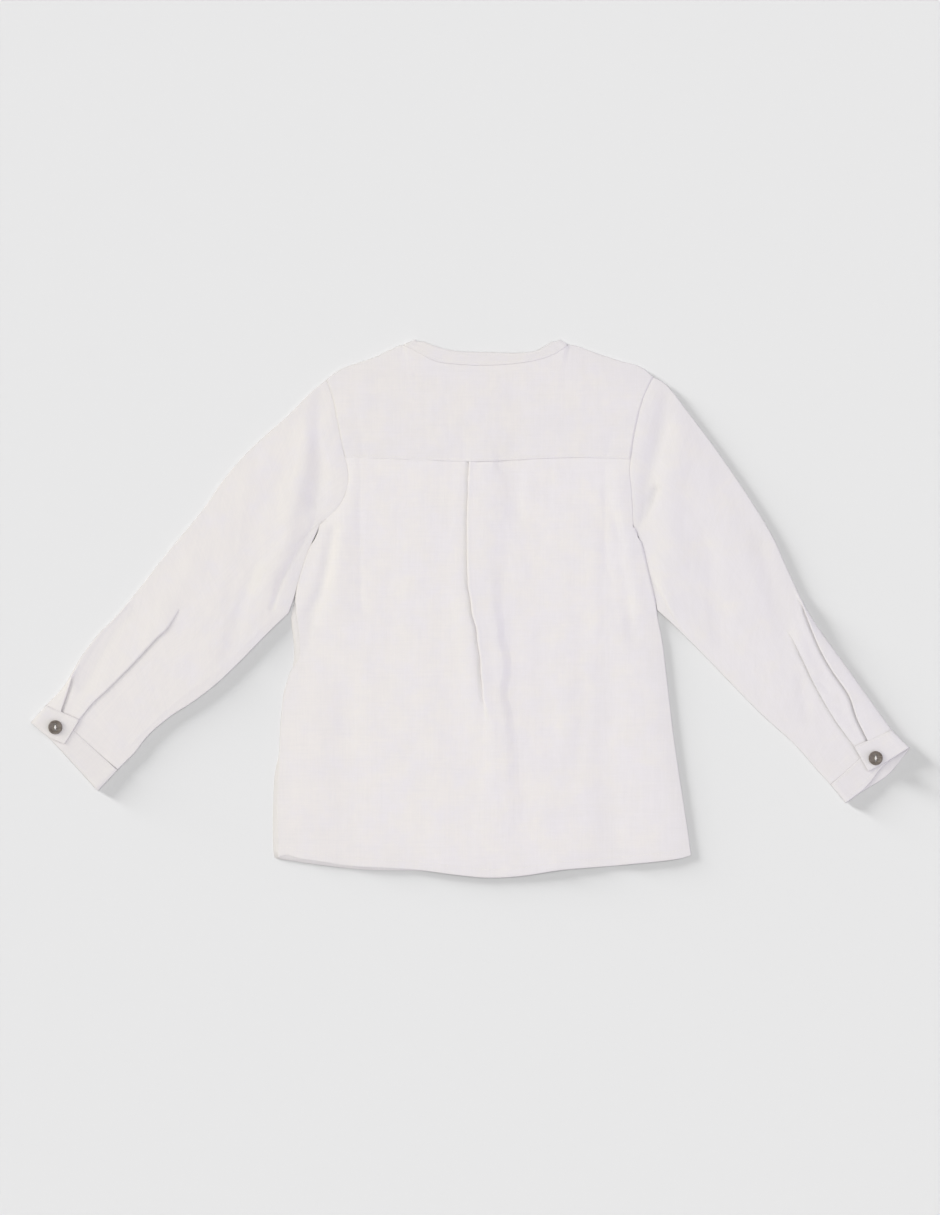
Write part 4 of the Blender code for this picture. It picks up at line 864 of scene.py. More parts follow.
def yoke_grids():
    """A patch between armholes, neck and seam, bent by a half circle at both shoulders."""
    neck_start, neck_stop = 0.27, 0.73
    top = Line(SHOULDER_LEFT, NECK_SEAM, SHOULDER_RIGHT, shares=(0.0, neck_start, neck_stop, 1.0))
    surface = patch(Line(YOKE_ARM_LEFT), Line(YOKE_ARM_RIGHT), top, Line(YOKE_SEAM))
    s = np.concatenate([np.linspace(0.0, neck_start, 36),
                        np.linspace(neck_start, neck_stop, 74)[1:],
                        np.linspace(neck_stop, 1.0, 36)[1:]])
    u = np.concatenate([[0.0, 0.002, 0.005, 0.009, 0.014, 0.022], np.linspace(0.034, 0.972, 50),
                        [0.98, 0.987, 0.993, 0.997, 1.0]])
    xy = surface(u[:, None], s[None, :])
    on_left, on_right = s < neck_start + 1e-6, s > neck_stop - 1e-6
    shoulder = on_left | on_right
    below = np.abs(xy[0:1, :, 1] - xy[..., 1])
    left_z = armhole_height(xy[:, :1], *ARMHOLE_ENDS["left"])
    right_z = armhole_height(xy[:, -1:], *ARMHOLE_ENDS["right"])
    z = body_height(xy, left_z, right_z, CROWN_YOKE - 0.4 * np.exp(-below / 20.0))
    above_seam = np.abs(xy[..., 1] - Line(YOKE_SEAM).at(s)[None, :, 1])
    over_pleat = np.exp(-(((xy[..., 0] - 10.4) / 12.5) ** 6)) \
        * bell(xy[..., 1], 124.5, 14.0)
    allowance = 0.2 / (1 + np.exp((above_seam - 8.5) / 0.6))
    beside_pleat = bell(xy[..., 0], 32.0, 6.5) * np.exp(-above_seam / 3.0)
    z = z + 1.6 * over_pleat + allowance - 0.15 * np.exp(-above_seam / 0.6) - 0.5 * beside_pleat
    z = z - 0.1 * np.exp(-below / 0.9)
    from_side = np.minimum(xy[..., 0] - xy[:, :1, 0], xy[:, -1:, 0] - xy[..., 0])
    inside = calm(from_side) * calm(below)
    z = z + (fold_height(YOKE_FOLDS, xy) + crumple(xy, CRUMPLE_SEED["yoke"])) * inside
    bend = EDGE + turned(below)
    low = bend + (z - EDGE - TURN) * (1 - np.exp(-np.clip(below - TURN, 0, None) / 12.0))
    grid = np.dstack([xy, np.where(shoulder[None, :], low, z)])
    sheets = [grid]
    for pick, seam in ((on_left, FRONT_YOKE_SEAM_LEFT), (on_right, FRONT_YOKE_SEAM_RIGHT[::-1])):
        edge = grid[0, pick]
        inner = Line(seam).at(np.linspace(0.0, 1.0, pick.sum()))
        length = np.linalg.norm(inner - edge[:, :2], axis=-1)
        ways = (inner - edge[:, :2]) / length[:, None]
        run = np.concatenate([TURN * np.array([0.0, 0.08, 0.3, 0.6, 1.0]), [4.0]])
        run = np.vstack([run[:, None] + np.zeros_like(length), 0.5 * length, length - SEAM / 2])
        sheets.append(np.dstack([edge[:, :2] + ways * run[..., None], edge[:, 2] - turned(run)]))
    away_from_neck = np.clip(np.maximum(neck_start - s, s - neck_stop) / 0.02, 0, 1)
    flaps_away = (away_from_neck[on_left], away_from_neck[on_right])
    for sheet, away in zip(sheets, (away_from_neck, *flaps_away)):
        sheet[..., 1] -= CLOTH / 2 * away * np.exp(-np.abs(sheet[:1, :, 1] - sheet[..., 1]) / 6.0)
    draw_in(grid, "last", -0.4)
    for sheet in (grid, sheets[1]):
        sheet[:, 0, 0] += HAIR
    for sheet in (grid, sheets[2]):
        sheet[:, -1, 0] -= HAIR
    sheets[1][1:, -1, 0] -= SEAM / 2
    sheets[2][1:, 0, 0] += SEAM / 2
    return sheets


yoke = yoke_grids()
yoke_sheet = cloth_sheet("yoke_cloth", "yoke", yoke, [part[..., :2] for part in yoke],
                         CLOTH, linen_yoke)

# %% [markdown]
# ## The fronts
#
# They lie face down on the table, hidden but for a sliver along the left side,
# and press flat under the weight of the rest. A straight strip joins them where
# the shirt buttons.

# %% Cut the fronts and their strip


def front_grid(neck, yoke_seam, arm, side, hem, placket_x):
    """A flat patch from the side to the strip, on the table."""
    outer = Line(arm, side, shares=(0.0, 0.32, 1.0))
    neck_line = [point for point in neck if point[1] <= yoke_seam[-1][1]]
    top = Line(yoke_seam, neck_line, shares=(0.0, 0.4, 1.0))
    surface = patch(outer, Line([neck[-1], hem[-1]]), top, Line(hem))
    u = np.concatenate([np.linspace(0.0, 0.32, 24), np.linspace(0.32, 1.0, 42)[1:]])
    s = np.concatenate([np.linspace(0.0, 0.4, 12), np.linspace(0.4, 1.0, 18)[1:]])
    xy = surface(u[:, None], s[None, :])
    grid = np.dstack([xy, np.full(xy.shape[:2], FLOOR)])
    draw_in(grid, "first", SEAM / 2)
    draw_in(grid, "left", SEAM / 2)
    grid[:, -1, 0] = placket_x
    return grid


front_left = front_grid(FRONT_NECK_LEFT, FRONT_YOKE_SEAM_LEFT, FRONT_ARM_LEFT, FRONT_SIDE_LEFT,
                        FRONT_HEM_LEFT, PLACKET_LEFT)
front_right = front_grid(FRONT_NECK_RIGHT, FRONT_YOKE_SEAM_RIGHT, FRONT_ARM_RIGHT, BACK_SIDE_RIGHT,
                         FRONT_HEM_RIGHT, PLACKET_RIGHT)
strip_x, strip_y = np.meshgrid(np.linspace(PLACKET_LEFT + GAP, PLACKET_RIGHT - GAP, 8),
                               np.linspace(158.0, -226.0, 80))
strip = np.dstack([strip_x, strip_y, np.full(strip_x.shape, FLOOR)])
for name, node, grid, size, area in (
        ("front_left_cloth", "front_left", front_left, (0.17, 0.44), 0.0574),
        ("front_right_cloth", "front_right", front_right, (0.165, 0.44), 0.0528),
        ("front_strip_cloth", "front_placket", strip, (0.025, 0.385), 0.0096)):
    cloth_sheet(name, node, [grid], [grid[..., :2]], CLOTH, linen_body)

# %% [markdown]
# ## The sleeves
#
# A sleeve is a tube pressed flat. Its first row runs down the armhole and then
# along the underarm fold to where the sleeve leaves the body, so the two layers
# meet again below the armpit. From there to the cuff the rows are rings: the
# flap under the slit, the inner fold, the layer on the table, the outer fold,
# the cuff pleat, and the edge of the slit that lies on top.

# %% Cut the sleeves
SLEEVE_LENGTH = 366.0
SLIT_BED = 0.8
SLIT_BED_WIDTH = 0.9
CUFF_PRESS = 9.0
TOP_AT_TAB, TOP_AT_LAP = 4.15, 2.45


def invert(surface, path):
    """Shares (u, s) where a patch meets points: nearest of many nodes, then two Newton steps."""
    u, s = np.meshgrid(np.linspace(0.0, 1.0, 161), np.linspace(0.0, 1.0, 81), indexing="ij")
    nodes = surface(u, s).reshape(-1, 2)
    best = ((path[:, None] - nodes) ** 2).sum(-1).argmin(axis=1)
    u, s = u.ravel()[best], s.ravel()[best]
    small = 0.002
    for _ in range(2):
        miss = path - surface(u, s)
        by_u = (surface(u + small, s) - surface(u - small, s)) / (2 * small)
        by_s = (surface(u, s + small) - surface(u, s - small)) / (2 * small)
        area = by_u[:, 0] * by_s[:, 1] - by_u[:, 1] * by_s[:, 0]
        u = np.clip(u + (miss[:, 0] * by_s[:, 1] - miss[:, 1] * by_s[:, 0]) / area, 0.001, 1.0)
        s = np.clip(s + (by_u[:, 0] * miss[:, 1] - by_u[:, 1] * miss[:, 0]) / area, 0.0, 1.0)
    return u, s


def sleeve_grid(side):
    """Rings of distances from the outer fold, set out by two patches, lofted and folded."""
    table, shape = CUFFS[side], SLEEVES[side]
    yoke_arm, back_arm, front_arm, tip = (
        (YOKE_ARM_LEFT, BACK_ARM_LEFT, FRONT_ARM_LEFT, SHOULDER_LEFT[0]) if side == "left"
        else (YOKE_ARM_RIGHT, BACK_ARM_RIGHT, FRONT_ARM_RIGHT, SHOULDER_RIGHT[-1]))
    over_arm, under_arm = yoke_arm + back_arm[1:], [tip] + front_arm
    armpit = 0.62
    seam = Line(table["seam"])
    outer_fold = Line(shape["outer"])
    inner_fold = Line(shape["underarm"], shape["inner"], shares=(0.0, 0.3, 1.0))
    upper, lower = (patch(outer_fold, Line(shape["inner"]), Line(arm, shape["underarm"],
                                                                 shares=(0.0, armpit, 1.0)), seam)
                    for arm in (over_arm, under_arm))
    u = np.concatenate([[0.0, 0.004, 0.009, 0.015, 0.022], np.linspace(0.03, 0.988, 138),
                        [0.992, 0.996, 0.9985, 1.0]])
    ends = upper(u[:, None], np.array([[0.0, 1.0]]))
    wide = np.linalg.norm(ends[:, 1] - ends[:, 0], axis=-1)[:, None]
    cut_share = CUT_WIDTH[side] / wide[-1, 0]

    def toward_tab(rows, share):
        """How far the outer side of the slit shifts at the cuff, to meet the tab, not the lap."""
        ease = np.clip((rows - 0.74) / 0.26, 0, 1)[..., None]
        return ease**2 * (Line(table["tab_seam"]).at(share) - seam.at(cut_share * share))

    def across(line):
        """Distance of a line from the outer fold at each row, and its first row."""
        path = Line(line).points
        rows, shares = invert(upper, path)
        for _ in range(2):
            shift = toward_tab(rows, np.clip(shares / cut_share, 0, 1))
            rows, shares = invert(upper, path - shift)
        order = np.argsort(rows)
        return wide * np.interp(u, rows[order], shares[order])[:, None], rows.min()

    cut, slit_start = across(SLIT_LINES[side])
    opened = np.clip((u - slit_start) / 0.05, 0, 1)[:, None]
    lap = SLIT_LAP * opened**2 * (3 - 2 * opened)
    edge, pleat_start = across(PLEAT_LINES[side])
    begun = np.clip((u - pleat_start) / 0.06, 0, 1)
    rise = PLEAT_RISE * begun**2 * (3 - 2 * begun)
    edge = edge[:, 0].clip(1.0)
    folded = np.clip((edge - 0.8) / 1.0, 0, 1) * np.clip((u - pleat_start) / 0.04, 0, 1)
    bends = np.array([0.0, 0.4, 1.5, 4.0])
    between = np.array([0.16, 0.3, 0.41, 0.525, 0.64, 0.76, 0.87])
    flap = np.hstack([cut - lap, cut + (wide - cut) * between, wide - bends[::-1]])
    flap = refine(flap[..., None], [8, 7, 6, 6, 6, 6, 6, 6, 3, 3, 3])[..., 0]
    shared = flap[:, 27:][:, ::-1]
    far = np.hstack([wide * np.array([0.45, 0.3, 0.15]), bends[::-1] + 0 * wide])
    floor = np.hstack([shared, far[:, :4], refine(far[:, 3:, None], [3, 3, 3])[:, 1:, 0]])
    narrow = np.clip(edge / 8.0, 0.1, 1.0)
    reach = 0.4 + 5.0 * (1 - begun)
    step_x, step_z = rolled_step(edge, folded, rise, -1, bed=0.35,
                                 reach=(reach, np.minimum(reach, 0.4 * edge)),
                                 depth=np.minimum(PLEAT_DEPTH, 0.45 * edge),
                                 upper=np.minimum(2.5, 0.4 * edge))
    last = step_x[:, -1:] + (cut - step_x[:, -1:]) * np.array([0.35, 0.7, 1.0])
    marks = np.stack([np.hstack([bends[1:] * narrow[:, None], step_x, last]),
                      np.hstack([rise[:, None] + np.zeros(3), step_z, np.zeros_like(last)])], -1)
    over = refine(marks, [3, 3, 4] + [4] * 8 + [6, 5, 5])
    first_bend = np.stack([bends[:2] * narrow[:, None], rise[:, None] + np.zeros(2)], -1)
    over = np.concatenate([refine(first_bend, [3])[:, 1:-1], over], axis=1)
    over, lift = over[..., 0], over[..., 1]

    def settle(xy, arm, tuck):
        """Draw the folds in by half a wall, tuck in the armhole edge, measure from the folds."""
        sense = -1 if side == "right" else 1
        from_outer, outer_normal, _ = nearest(xy, outer_fold)
        from_inner, inner_normal, _ = nearest(xy, inner_fold)
        from_arm, arm_normal, _ = nearest(xy, Line(arm))
        beside_body = np.exp(-nearest(xy, Line(shape["underarm"]))[0] / 12.0)
        inset = CLOTH / 2 + 0.2 * beside_body
        fade_outer, fade_inner = np.exp(-from_outer / 6.0), np.exp(-from_inner / 6.0)
        fade_arm = np.exp(-from_arm / 3.0) * (1 - fade_inner)
        moved = xy + sense * (outer_normal * (CLOTH / 2 * fade_outer)[..., None]
                              - inner_normal * (inset * fade_inner)[..., None]
                              + arm_normal * (tuck * fade_arm)[..., None])
        return (moved, from_outer - CLOTH / 2 * (1 - fade_outer),
                from_inner - inset * (1 - fade_inner), fade_arm)

    def upper_layer(distance, added, tab):
        """The visible layer: patch, then loft, folds and crumple, then pleat and slit."""
        xy = upper(u[:, None], distance / wide)
        if tab:
            share = np.clip(distance / cut, 0, 1)
            xy = xy + toward_tab(u[:, None] + 0 * distance, share)
        xy, from_outer, from_inner, fade_arm = settle(xy, over_arm, TUCK)
        join = np.exp(-u / 0.04)[:, None]
        crown = CROWN_SLEEVE + (CROWN_WRIST - CROWN_SLEEVE) * u[:, None] ** 2
        z = loft(from_outer, from_inner, crown * (1 - join) + ARMHOLE_TOP * join)
        inside = calm(from_outer) * calm(from_inner) * (1 - join)
        wrist = 1 - 0.7 * u[:, None] ** 4
        folds = fold_height(SLEEVE_FOLDS[side], xy) + wrist * crumple(xy, CRUMPLE_SEED["sleeve"])
        folds = folds * inside
        lowest = np.minimum(z, LOWEST_FOLD)
        spare = z + folds - lowest
        z = lowest + 0.5 * (spare + np.sqrt(spare**2 + 0.04))
        eased = 1 - np.exp(-from_outer / (5.0 * narrow[:, None]))
        z = z + added * eased - UNDER_SEAM * fade_arm**3
        if not tab:
            slit_bed = SLIT_BED * opened * bell(distance, cut, SLIT_BED_WIDTH) * wrist
            z = np.maximum(z - slit_bed, np.minimum(z, LOWEST_FOLD))
        cuff_top = TOP_AT_TAB if tab else TOP_AT_LAP
        near_cuff = np.exp(-((1 - u[:, None]) * SLEEVE_LENGTH / CUFF_PRESS) ** 2)
        return np.dstack([xy, z - np.maximum(z - cuff_top, 0) * near_cuff])

    lap_lift = opened * LEVEL * np.exp(-np.clip(cut - SLIT_LAP - over, 0, None) / 8.0)
    xy, from_outer, from_inner, _ = settle(lower(u[:, None], floor / wide), under_arm, 0.0)
    near = np.minimum(from_outer, from_inner)
    under = np.dstack([xy, EDGE - turned(near)])
    grid = np.concatenate([upper_layer(flap, np.zeros_like(flap), False), under[:, 1:],
                           upper_layer(over, lift + lap_lift, True)], axis=1)
    draw_in(grid, "last", -0.6)
    return grid


def ring_cut(grid):
    """The flat cut of a tube: length round each ring against length along the sleeve."""
    steps = np.linalg.norm(np.diff(grid, axis=1), axis=2)
    around = np.concatenate([np.zeros((len(grid), 1)), np.cumsum(steps, axis=1)], axis=1)
    middle = grid[:, grid.shape[1] // 6]
    along = run_along(middle)
    return np.stack([around, np.broadcast_to(along[:, None], around.shape)], axis=-1)


for side in ("left", "right"):
    sleeve = sleeve_grid(side)
    cloth_sheet("sleeve_" + side + "_cloth", "sleeve_" + side, [sleeve], [ring_cut(sleeve)], CLOTH,
                linen_sleeve)

# %% [markdown]
# ## The cuffs
#
# A cuff is a straight band of two layers round the wrist. Its under end shows as
# the lap below the tab, then it turns at the inner fold, lies on the table,
# turns at the outer fold and ends as the tab that carries the button.

# %% Cut the cuffs
CUFF_LENGTH = 80.0
TAB_LENGTH = 31.0


def cuff_grid(side):
    """Rows across the band, each a straight line between the seam curve and the edge curve."""
    table = CUFFS[side]
    seam, tab_seam = Line(table["seam"]), Line(table["tab_seam"])
    lap_edge, under_edge, tab_edge = (Line(table[key + "_edge"]) for key in ("lap", "under", "tab"))
    low = BAND_WALL / 2
    lap = low + BAND_WALL + GAP
    high = lap + BAND_WALL + GAP
    inset = BAND_CLOTH / 2
    small, big = (lap - low) / 2, (high - low) / 2
    rows = [(seam.at(share), lap_edge.at(share), lap)
            for share in (0.18, 0.3, 0.45, 0.6, 0.75, 0.88)]
    for angle in (90, 45, 0, -45, -90):
        back = (inset + small - small * math.cos(math.radians(angle))) / CUFF_LENGTH
        edge = lap_edge if angle > 0 else under_edge
        z = low + small + small * math.sin(math.radians(angle))
        rows.append((seam.at(1 - back), edge.at(1 - back), z))
    rows += [(seam.at(share), under_edge.at(share), low)
             for share in (0.85, 0.7, 0.55, 0.4, 0.25, 0.12)]
    for angle in (-90, -45, 0, 45, 90):
        back = (inset + big - big * math.cos(math.radians(angle))) / CUFF_LENGTH
        z = low + big + big * math.sin(math.radians(angle))
        along, edge, stretch = ((seam, under_edge, 1.0) if angle <= 0
                                else (tab_seam, tab_edge, CUFF_LENGTH / TAB_LENGTH))
        rows.append((along.at(back * stretch), edge.at(back * stretch), z))
    rows += [(tab_seam.at(share), tab_edge.at(share), high)
             for share in (0.25, 0.45, 0.65, 0.85, 1.0)]
    grid = np.array([[(*(a + (b - a) * across), z) for a, b, z in rows]
                     for across in (0.0, 0.33, 0.67, 1.0)])
    draw_in(grid, "first", -0.1)
    fine = refine(grid, [6] * (grid.shape[1] - 1))
    fine = refine(fine.transpose(1, 0, 2), [7] * 3).transpose(1, 0, 2)
    fine[0, :, 2] -= 0.2 * (fine[0, :, 2] > lap - 0.4)
    fine[..., 2] = np.maximum(fine[..., 2], low)
    return fine


cuff_sheets = {}
for side in ("left", "right"):
    cuff = cuff_grid(side)
    cuff[..., 2] += 0.12 * relief(cuff[..., :2], 9.0, CRUMPLE_SEED["cuff"]) * (cuff[..., 2] > 2.0)
    cuff_sheets[side] = cloth_sheet("cuff_" + side + "_cloth", "cuff_" + side, [cuff],
                                    [ring_cut(cuff)[..., ::-1]], BAND_CLOTH,
                                    linen_band)

# %% [markdown]
# ## The collar band
#
# A band collar is a ribbon that stands round the neck. Laid flat it is folded at
# both corners: its back half lies on top along the back neck, and its front half
# runs round the front neck underneath.

# %% Cut the collar band
BAND_INWARD = [(11.3, 4.0), (9.0, 8.0), (5.0, 10.6), (12.2, 11.4)]


def collar_grid():
    """A ribbon between a seam curve and a top curve, turned by a half circle at each corner."""
    floor = BAND_WALL / 2
    back_level = CROWN_YOKE - 0.5
    share = np.linspace(0.0, 1.0, 19)
    seam, top = Line(NECK_SEAM).at(share), Line(BAND_TOP).at(share)
    level = back_level - (back_level - 3.0) * np.exp(-np.minimum(share, 1 - share) / 0.06)
    rise = SEAM + 0.5
    back_seam = np.column_stack([seam[:, 0], seam[:, 1] - 0.1, level + 0.15])
    back_top = np.column_stack([top[:, 0], top[:, 1], level - 0.4])
    back_seam[0] += (0.6, 0.2, 0.0)
    back_seam[-1] += (-0.6, 0.2, 0.0)
    back_top[0] += (0.3, -1.6, 0.0)
    back_top[-1] += (-0.3, -1.6, 0.0)

    def front_half(neck, corner, mirror):
        """Seam and top edge on the table, from a corner to the strip."""
        share = np.linspace(0.0, 1.0, 12)[1:]
        path = Line(neck).at(share) + np.array([mirror * rise * 0.7, rise * 0.7])
        path[-1, 0] = neck[4][0] + mirror * BAND_INWARD[-1][0]
        inward = [tuple(corner[:2])] + [(x + mirror * out, y + up)
                                        for (x, y), (out, up) in zip(neck[1:], BAND_INWARD)]
        inside = Line(inward).at(share)
        return [np.column_stack([edge, np.full(len(share), floor)]) for edge in (path, inside)]

    def turn_at(seam_point, top_point, outward):
        """Three points round the half circle from the back's level down to the table."""
        high = (seam_point[2] + top_point[2]) / 2
        angle = np.radians([45.0, 90.0, 135.0])
        out = (high - floor) / 2 * np.sin(angle)
        z = (high + floor) / 2 + (high - floor) / 2 * np.cos(angle)
        return [np.column_stack([point[0] + outward * out * 0.15, point[1] + 0.5 * out, z])
                for point in (seam_point, top_point)]

    left = front_half(FRONT_NECK_LEFT, back_top[0], 1)
    right = front_half(FRONT_NECK_RIGHT, back_top[-1], -1)
    left_turn = turn_at(back_seam[0], back_top[0], -1)
    right_turn = turn_at(back_seam[-1], back_top[-1], 1)
    rows = [np.vstack([left[k][::-1], left_turn[k][::-1], back, right_turn[k], right[k]])
            for k, back in enumerate((back_seam, back_top))]
    grid = np.array([rows[0] + (rows[1] - rows[0]) * share for share in (0.0, 0.5, 1.0)])
    fine = refine(grid, [6] * (grid.shape[1] - 1))
    fine = refine(fine.transpose(1, 0, 2), [6] * 2).transpose(1, 0, 2)
    fine[0, :, 2] -= 0.12 * (fine[0, :, 2] > 2.5)
    fine[..., 2] = np.maximum(fine[..., 2], floor)
    return fine


collar = collar_grid()
collar_sheet = cloth_sheet("collar_cloth", "collar_band", [collar], [ring_cut(collar)[..., ::-1]],
                           BAND_CLOTH, linen_band)

# %% [markdown]
# ## Stitching
#
# Topstitching holds the seam allowances down: a row of short thread pieces, each
# one pressed into the cloth at its ends. One such piece has 30 points, and all
# stitches of a row are made at once from arrays of their two end points.

# %% Set rows of stitches
STITCH = 2.5
STITCH_GAP = 0.45
THREAD_RADIUS = 0.2


def make_thread():
    finish, _, shader, where = start_finish("sewing_thread")
    twist = noise(where, 900.0, 2.0)
    colour = twist.between(-0.3, 0.3).blend((0.86, 0.84, 0.81), (0.78, 0.75, 0.72))
    colour.into(shader.inputs["Base Color"])
    shader.inputs["Roughness"].default_value = 0.7
    return finish


thread = make_thread()


def thread_piece(name, points):
    """Closed tubes of thread as one object, points in mm by tube, ring and place round the ring."""
    count, rings, sides = points.shape[:3]
    index = np.arange(count * rings * sides).reshape(count, rings, sides)
    nxt = np.roll(index, -1, axis=2)
    quads = np.stack([index[:, :-1], nxt[:, :-1], nxt[:, 1:], index[:, 1:]], axis=-1).reshape(-1, 4)
    caps = np.vstack([index[:, 0, ::-1], index[:, -1]])
    mesh = bpy.data.meshes.new(name)
    mesh.from_pydata((points.reshape(-1, 3) * MM).tolist(), [], quads.tolist() + caps.tolist())
    mesh.shade_smooth()
    mesh.materials.append(thread)
    piece = bpy.data.objects.new(name, mesh)
    scene.collection.objects.link(piece)
    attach(piece, "root")


def stitch_row(path):
    """Ends of the stitches along a path of points in mm: starts and stops, in pairs."""
    run = run_along(path)
    count = int(run[-1] // STITCH)
    starts = np.arange(count) * STITCH + STITCH_GAP / 2
    ends = starts + STITCH - STITCH_GAP
    return tuple(np.stack([np.interp(mark, run, axis) for axis in path.T], axis=-1)
                 for mark in (starts, ends))


def seat_on(points, tree):
    """Drop points from above onto a sheet and give their heights in mm."""
    heights = []
    for x, y in points - np.array(CENTRE):
        hit = tree.ray_cast(Vector((x * MM, y * MM, 0.1)), Vector((0.0, 0.0, -1.0)))[0]
        heights.append(hit.z / MM if hit else np.nan)
    return np.array(heights)


def sew(name, sheet, paths):
    """All the stitches of some rows as one object on one sheet."""
    graph = bpy.context.evaluated_depsgraph_get()
    tree = BVHTree.FromObject(sheet, graph)
    starts, ends = (np.vstack(marks) for marks in zip(*(stitch_row(path) for path in paths)))
    z_start, z_end = seat_on(starts, tree), seat_on(ends, tree)
    keep = np.isfinite(z_start) & np.isfinite(z_end) & (np.abs(z_start - z_end) < 0.8)
    a = np.column_stack([starts, z_start])[keep] - np.array([*CENTRE, 0.0])
    b = np.column_stack([ends, z_end])[keep] - np.array([*CENTRE, 0.0])
    way = (b - a) / np.linalg.norm(b - a, axis=1, keepdims=True)
    side = np.cross(way, [0.0, 0.0, 1.0])
    side /= np.linalg.norm(side, axis=1, keepdims=True)
    up = np.cross(side, way)
    along = np.array([0.0, 0.12, 0.5, 0.88, 1.0])
    size = np.array([0.25, 0.85, 1.0, 0.85, 0.25])
    sink = np.array([-0.2, -0.06, 0.0, -0.06, -0.2])
    turn = np.linspace(0.0, 2 * np.pi, 7)[:-1]
    core = (a[:, None] + (b - a)[:, None] * along[None, :, None]
            + up[:, None] * sink[None, :, None])
    ring = (side[:, None, None] * np.cos(turn)[None, None, :, None]
            + up[:, None, None] * np.sin(turn)[None, None, :, None]) * THREAD_RADIUS
    points = core[:, :, None] + ring * size[None, :, None, None]
    thread_piece(name, points)
    print(name, len(points), "stitches")


def beside(line, distance, start=0.0, stop=1.0):
    """A line moved to its left by a distance, between two shares of it."""
    share = np.linspace(start, stop, 120)
    path = line.at(share)
    way = np.gradient(path, axis=0)
    normal = np.column_stack([-way[:, 1], way[:, 0]])
    return path + distance * normal / np.linalg.norm(normal, axis=1, keepdims=True)


sew("yoke_stitches", yoke_sheet, [beside(Line(YOKE_SEAM), 1.8, 0.01, 0.99)])
sew("collar_stitches", collar_sheet, [beside(Line(BAND_TOP), -1.8, 0.02, 0.98),
                                      beside(Line(NECK_SEAM), 2.6, 0.03, 0.97)])
sew("hem_stitches", back_sheet, [beside(Line(BACK_HEM), 7.0, 0.01, 0.99)])
for side in ("left", "right"):
    table = CUFFS[side]
    turn = 1.0 if side == "left" else -1.0
    tab_top, tab_edge = Line(table["tab_seam"]), Line(table["tab_edge"])
    tab_end = Line([table["tab_seam"][-1], table["tab_edge"][-1]])
    seam, lap_edge = Line(table["seam"]), Line(table["lap_edge"])
    lap_top = Line([tuple(seam.at(0.5)), tuple(seam.at(1.0))])
    lap_low = Line([tuple(lap_edge.at(0.42)), tuple(lap_edge.at(1.0))])
    sew("cuff_" + side + "_stitches", cuff_sheets[side],
        [beside(tab_top, -1.9 * turn, 0.06, 0.95), beside(tab_edge, 1.7 * turn, 0.05, 0.95),
         beside(tab_end, -1.7 * turn, 0.06, 0.94), beside(lap_top, -1.9 * turn, 0.0, 0.97),
         beside(lap_low, 1.7 * turn, 0.0, 0.97)])

# %% [markdown]
# ## Buttons
#
# The buttons are turned discs with a dished middle and two holes, and their solids
# already have that shape. They keep it and get a horn-like finish: brown grey,
# and clouded. The thread between the holes is a short loop, thicker in its middle.

# %% Finish the buttons and sew them on
BUTTON_SEAT = 5.1
BUTTON_DISH = 1.5
HOLE_OFFSET = 2.1
LOOP_DIP = 1.9
LOOP_WIDE, LOOP_THICK = 0.55, 0.28


def make_horn():
    finish, _, shader, where = start_finish("horn_button")
    streak = noise(where, 260.0, 4.0, 0.6, (1.0, 3.0, 1.0))
    tone = streak.between(-0.25, 0.25).blend((0.105, 0.082, 0.066), (0.22, 0.19, 0.165))
    tone.into(shader.inputs["Base Color"])
    bump = where.node("ShaderNodeBump", Height=streak * 0.0002, Strength=0.4, Distance=1.0)
    where.out(bump).into(shader.inputs["Normal"])
    (0.38 + 0.2 * streak.between(-0.3, 0.3)).into(shader.inputs["Roughness"])
    return finish


horn = make_horn()
for side in ("left", "right"):
    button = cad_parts["button_cuff_" + side]
    for place in button.material_slots:
        place.material = horn


def button_thread(side):
    """A loop through both holes: an ellipse carried along a flat arch, thicker in the middle."""
    x, y = CUFFS[side]["button"]
    share = np.linspace(0.0, 1.0, 25)
    arch_y = y - HOLE_OFFSET + 2 * HOLE_OFFSET * share
    arch_z = BUTTON_SEAT + BUTTON_DISH + LOOP_THICK - LOOP_DIP * np.abs(2 * share - 1) ** 6
    core = np.column_stack([np.full(25, x), arch_y, arch_z]) - np.array([*CENTRE, 0.0])
    way = np.gradient(core, axis=0)
    way /= np.linalg.norm(way, axis=1, keepdims=True)
    flat = np.array([1.0, 0.0, 0.0])
    up = np.cross(way, flat)
    turn = np.linspace(0.0, 2 * np.pi, 13)[:-1]
    swell = 1 + 0.9 * bell(share, 0.5, 0.16)
    ring = (flat * np.cos(turn)[None, :, None] * LOOP_WIDE
            + up[:, None] * np.sin(turn)[None, :, None] * LOOP_THICK)
    thread_piece("button_thread_" + side, (core[:, None] + swell[:, None, None] * ring)[None])


for side in ("left", "right"):
    button_thread(side)

# %% [markdown]
# ## Table, light and tone
#
# The cloth is lit from both sides: warm from the left, cool from the right,
# with much of the light soft and from above. Suns light the whole table evenly,
# so the ground stays one flat grey. Light linking splits the two jobs: the side
# lights leave out the table, and two suns reach nothing but the table. The low
# one of them draws the wide soft shadow to the right and below.

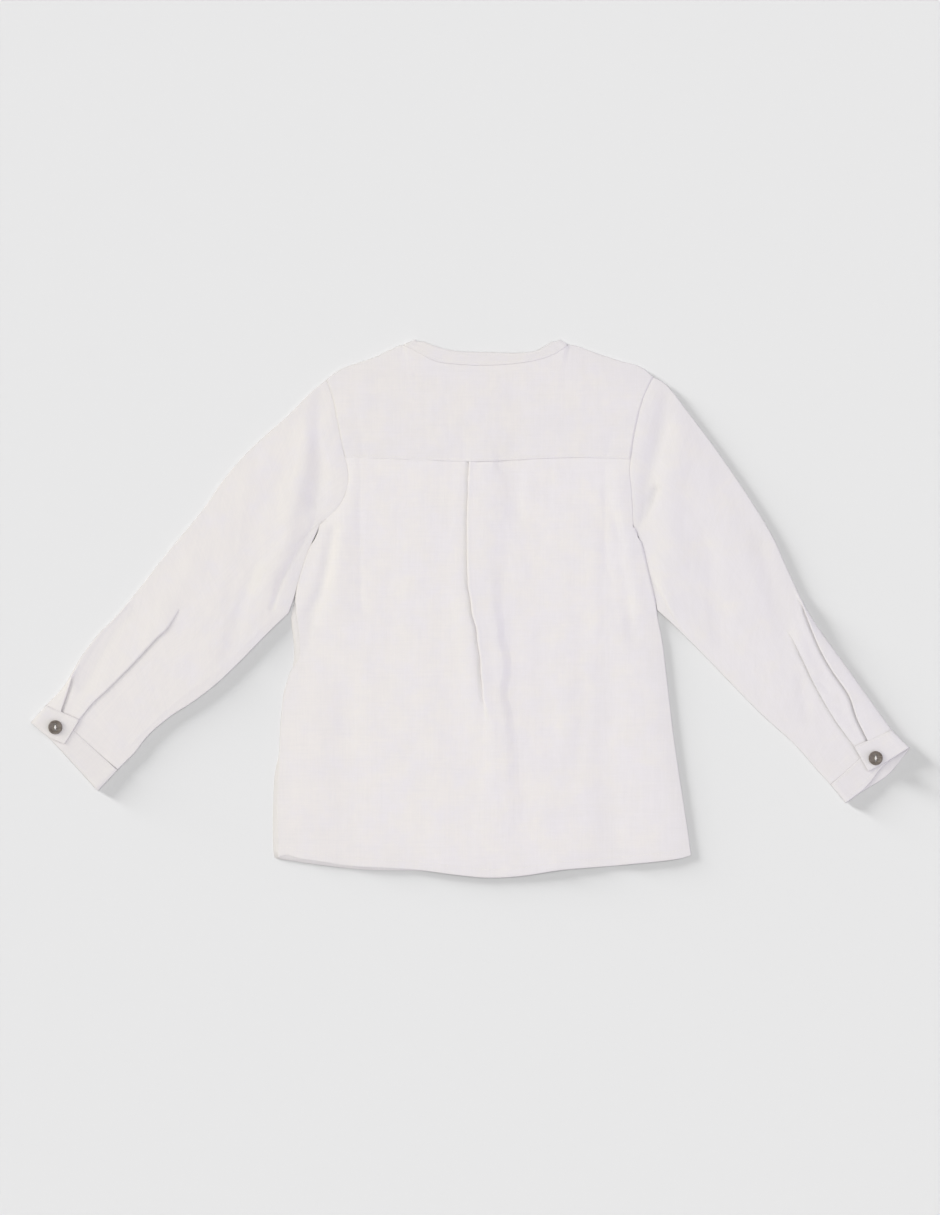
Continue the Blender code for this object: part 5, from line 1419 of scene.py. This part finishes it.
# %% Lay the table and light it
bpy.ops.mesh.primitive_plane_add(size=12.0)
table_top = bpy.context.object
table_top.name = "table_top"
ground, _, ground_shader, ground_where = start_finish("studio_grey")
grain = noise(ground_where, 400.0, 2.0)
ground_tone = grain.between(-0.4, 0.4).blend((0.625, 0.625, 0.625), (0.629, 0.629, 0.629))
ground_tone.into(ground_shader.inputs["Base Color"])
ground_shader.inputs["Roughness"].default_value = 0.95
ground_shader.inputs["Specular IOR Level"].default_value = 0.1
table_top.data.materials.append(ground)


def sun(name, azimuth, elevation, colour, strength, spread):
    """A sun that shines from an azimuth, anticlockwise from +X, and a height, both in degrees."""
    lamp = bpy.data.lights.new(name, "SUN")
    lamp.color = colour
    lamp.energy = strength
    lamp.angle = math.radians(spread)
    made = bpy.data.objects.new(name, lamp)
    a, e = math.radians(azimuth), math.radians(elevation)
    toward = Vector((math.cos(a) * math.cos(e), math.sin(a) * math.cos(e), math.sin(e)))
    made.rotation_euler = toward.to_track_quat("Z", "Y").to_euler()
    scene.collection.objects.link(made)
    return made


side_lights = [sun("warm_left", 165.0, 26.0, (1.0, 0.95, 0.76), 0.95, 40.0),
               sun("cool_right", 345.0, 26.0, (0.91, 0.84, 1.0), 0.95, 40.0),
               sun("soft_key", 150.0, 24.0, (1.0, 1.0, 1.0), 0.5, 20.0),
               sun("low_fill", 255.0, 20.0, (1.0, 1.0, 1.0), 0.5, 60.0)]
sun("overhead", 90.0, 80.0, (0.927, 0.961, 0.973), 1.06, 60.0)
ground_light = sun("ground_light", 150.0, 6.5, (1.0, 1.0, 1.0), 10.16, 12.0)
ground_fill = sun("ground_fill", 90.0, 80.0, (1.0, 0.949, 0.949), 0.833, 60.0)
only_table = bpy.data.collections.new("only_table")
only_table.objects.link(table_top)
for lamp in (ground_light, ground_fill):
    lamp.light_linking.receiver_collection = only_table
all_but_table = bpy.data.collections.new("all_but_table")
all_but_table.objects.link(table_top)
all_but_table.collection_objects[0].light_linking.link_state = "EXCLUDE"
for lamp in side_lights:
    lamp.light_linking.receiver_collection = all_but_table
world = bpy.data.worlds.new("studio")
world.use_nodes = True
background = world.node_tree.nodes["Background"]
background.inputs["Color"].default_value = (1.0, 1.0, 1.0, 1.0)
background.inputs["Strength"].default_value = 0.35
scene.world = world
scene.view_settings.view_transform = "Standard"
scene.view_settings.look = "None"
scene.view_settings.exposure = 0.0
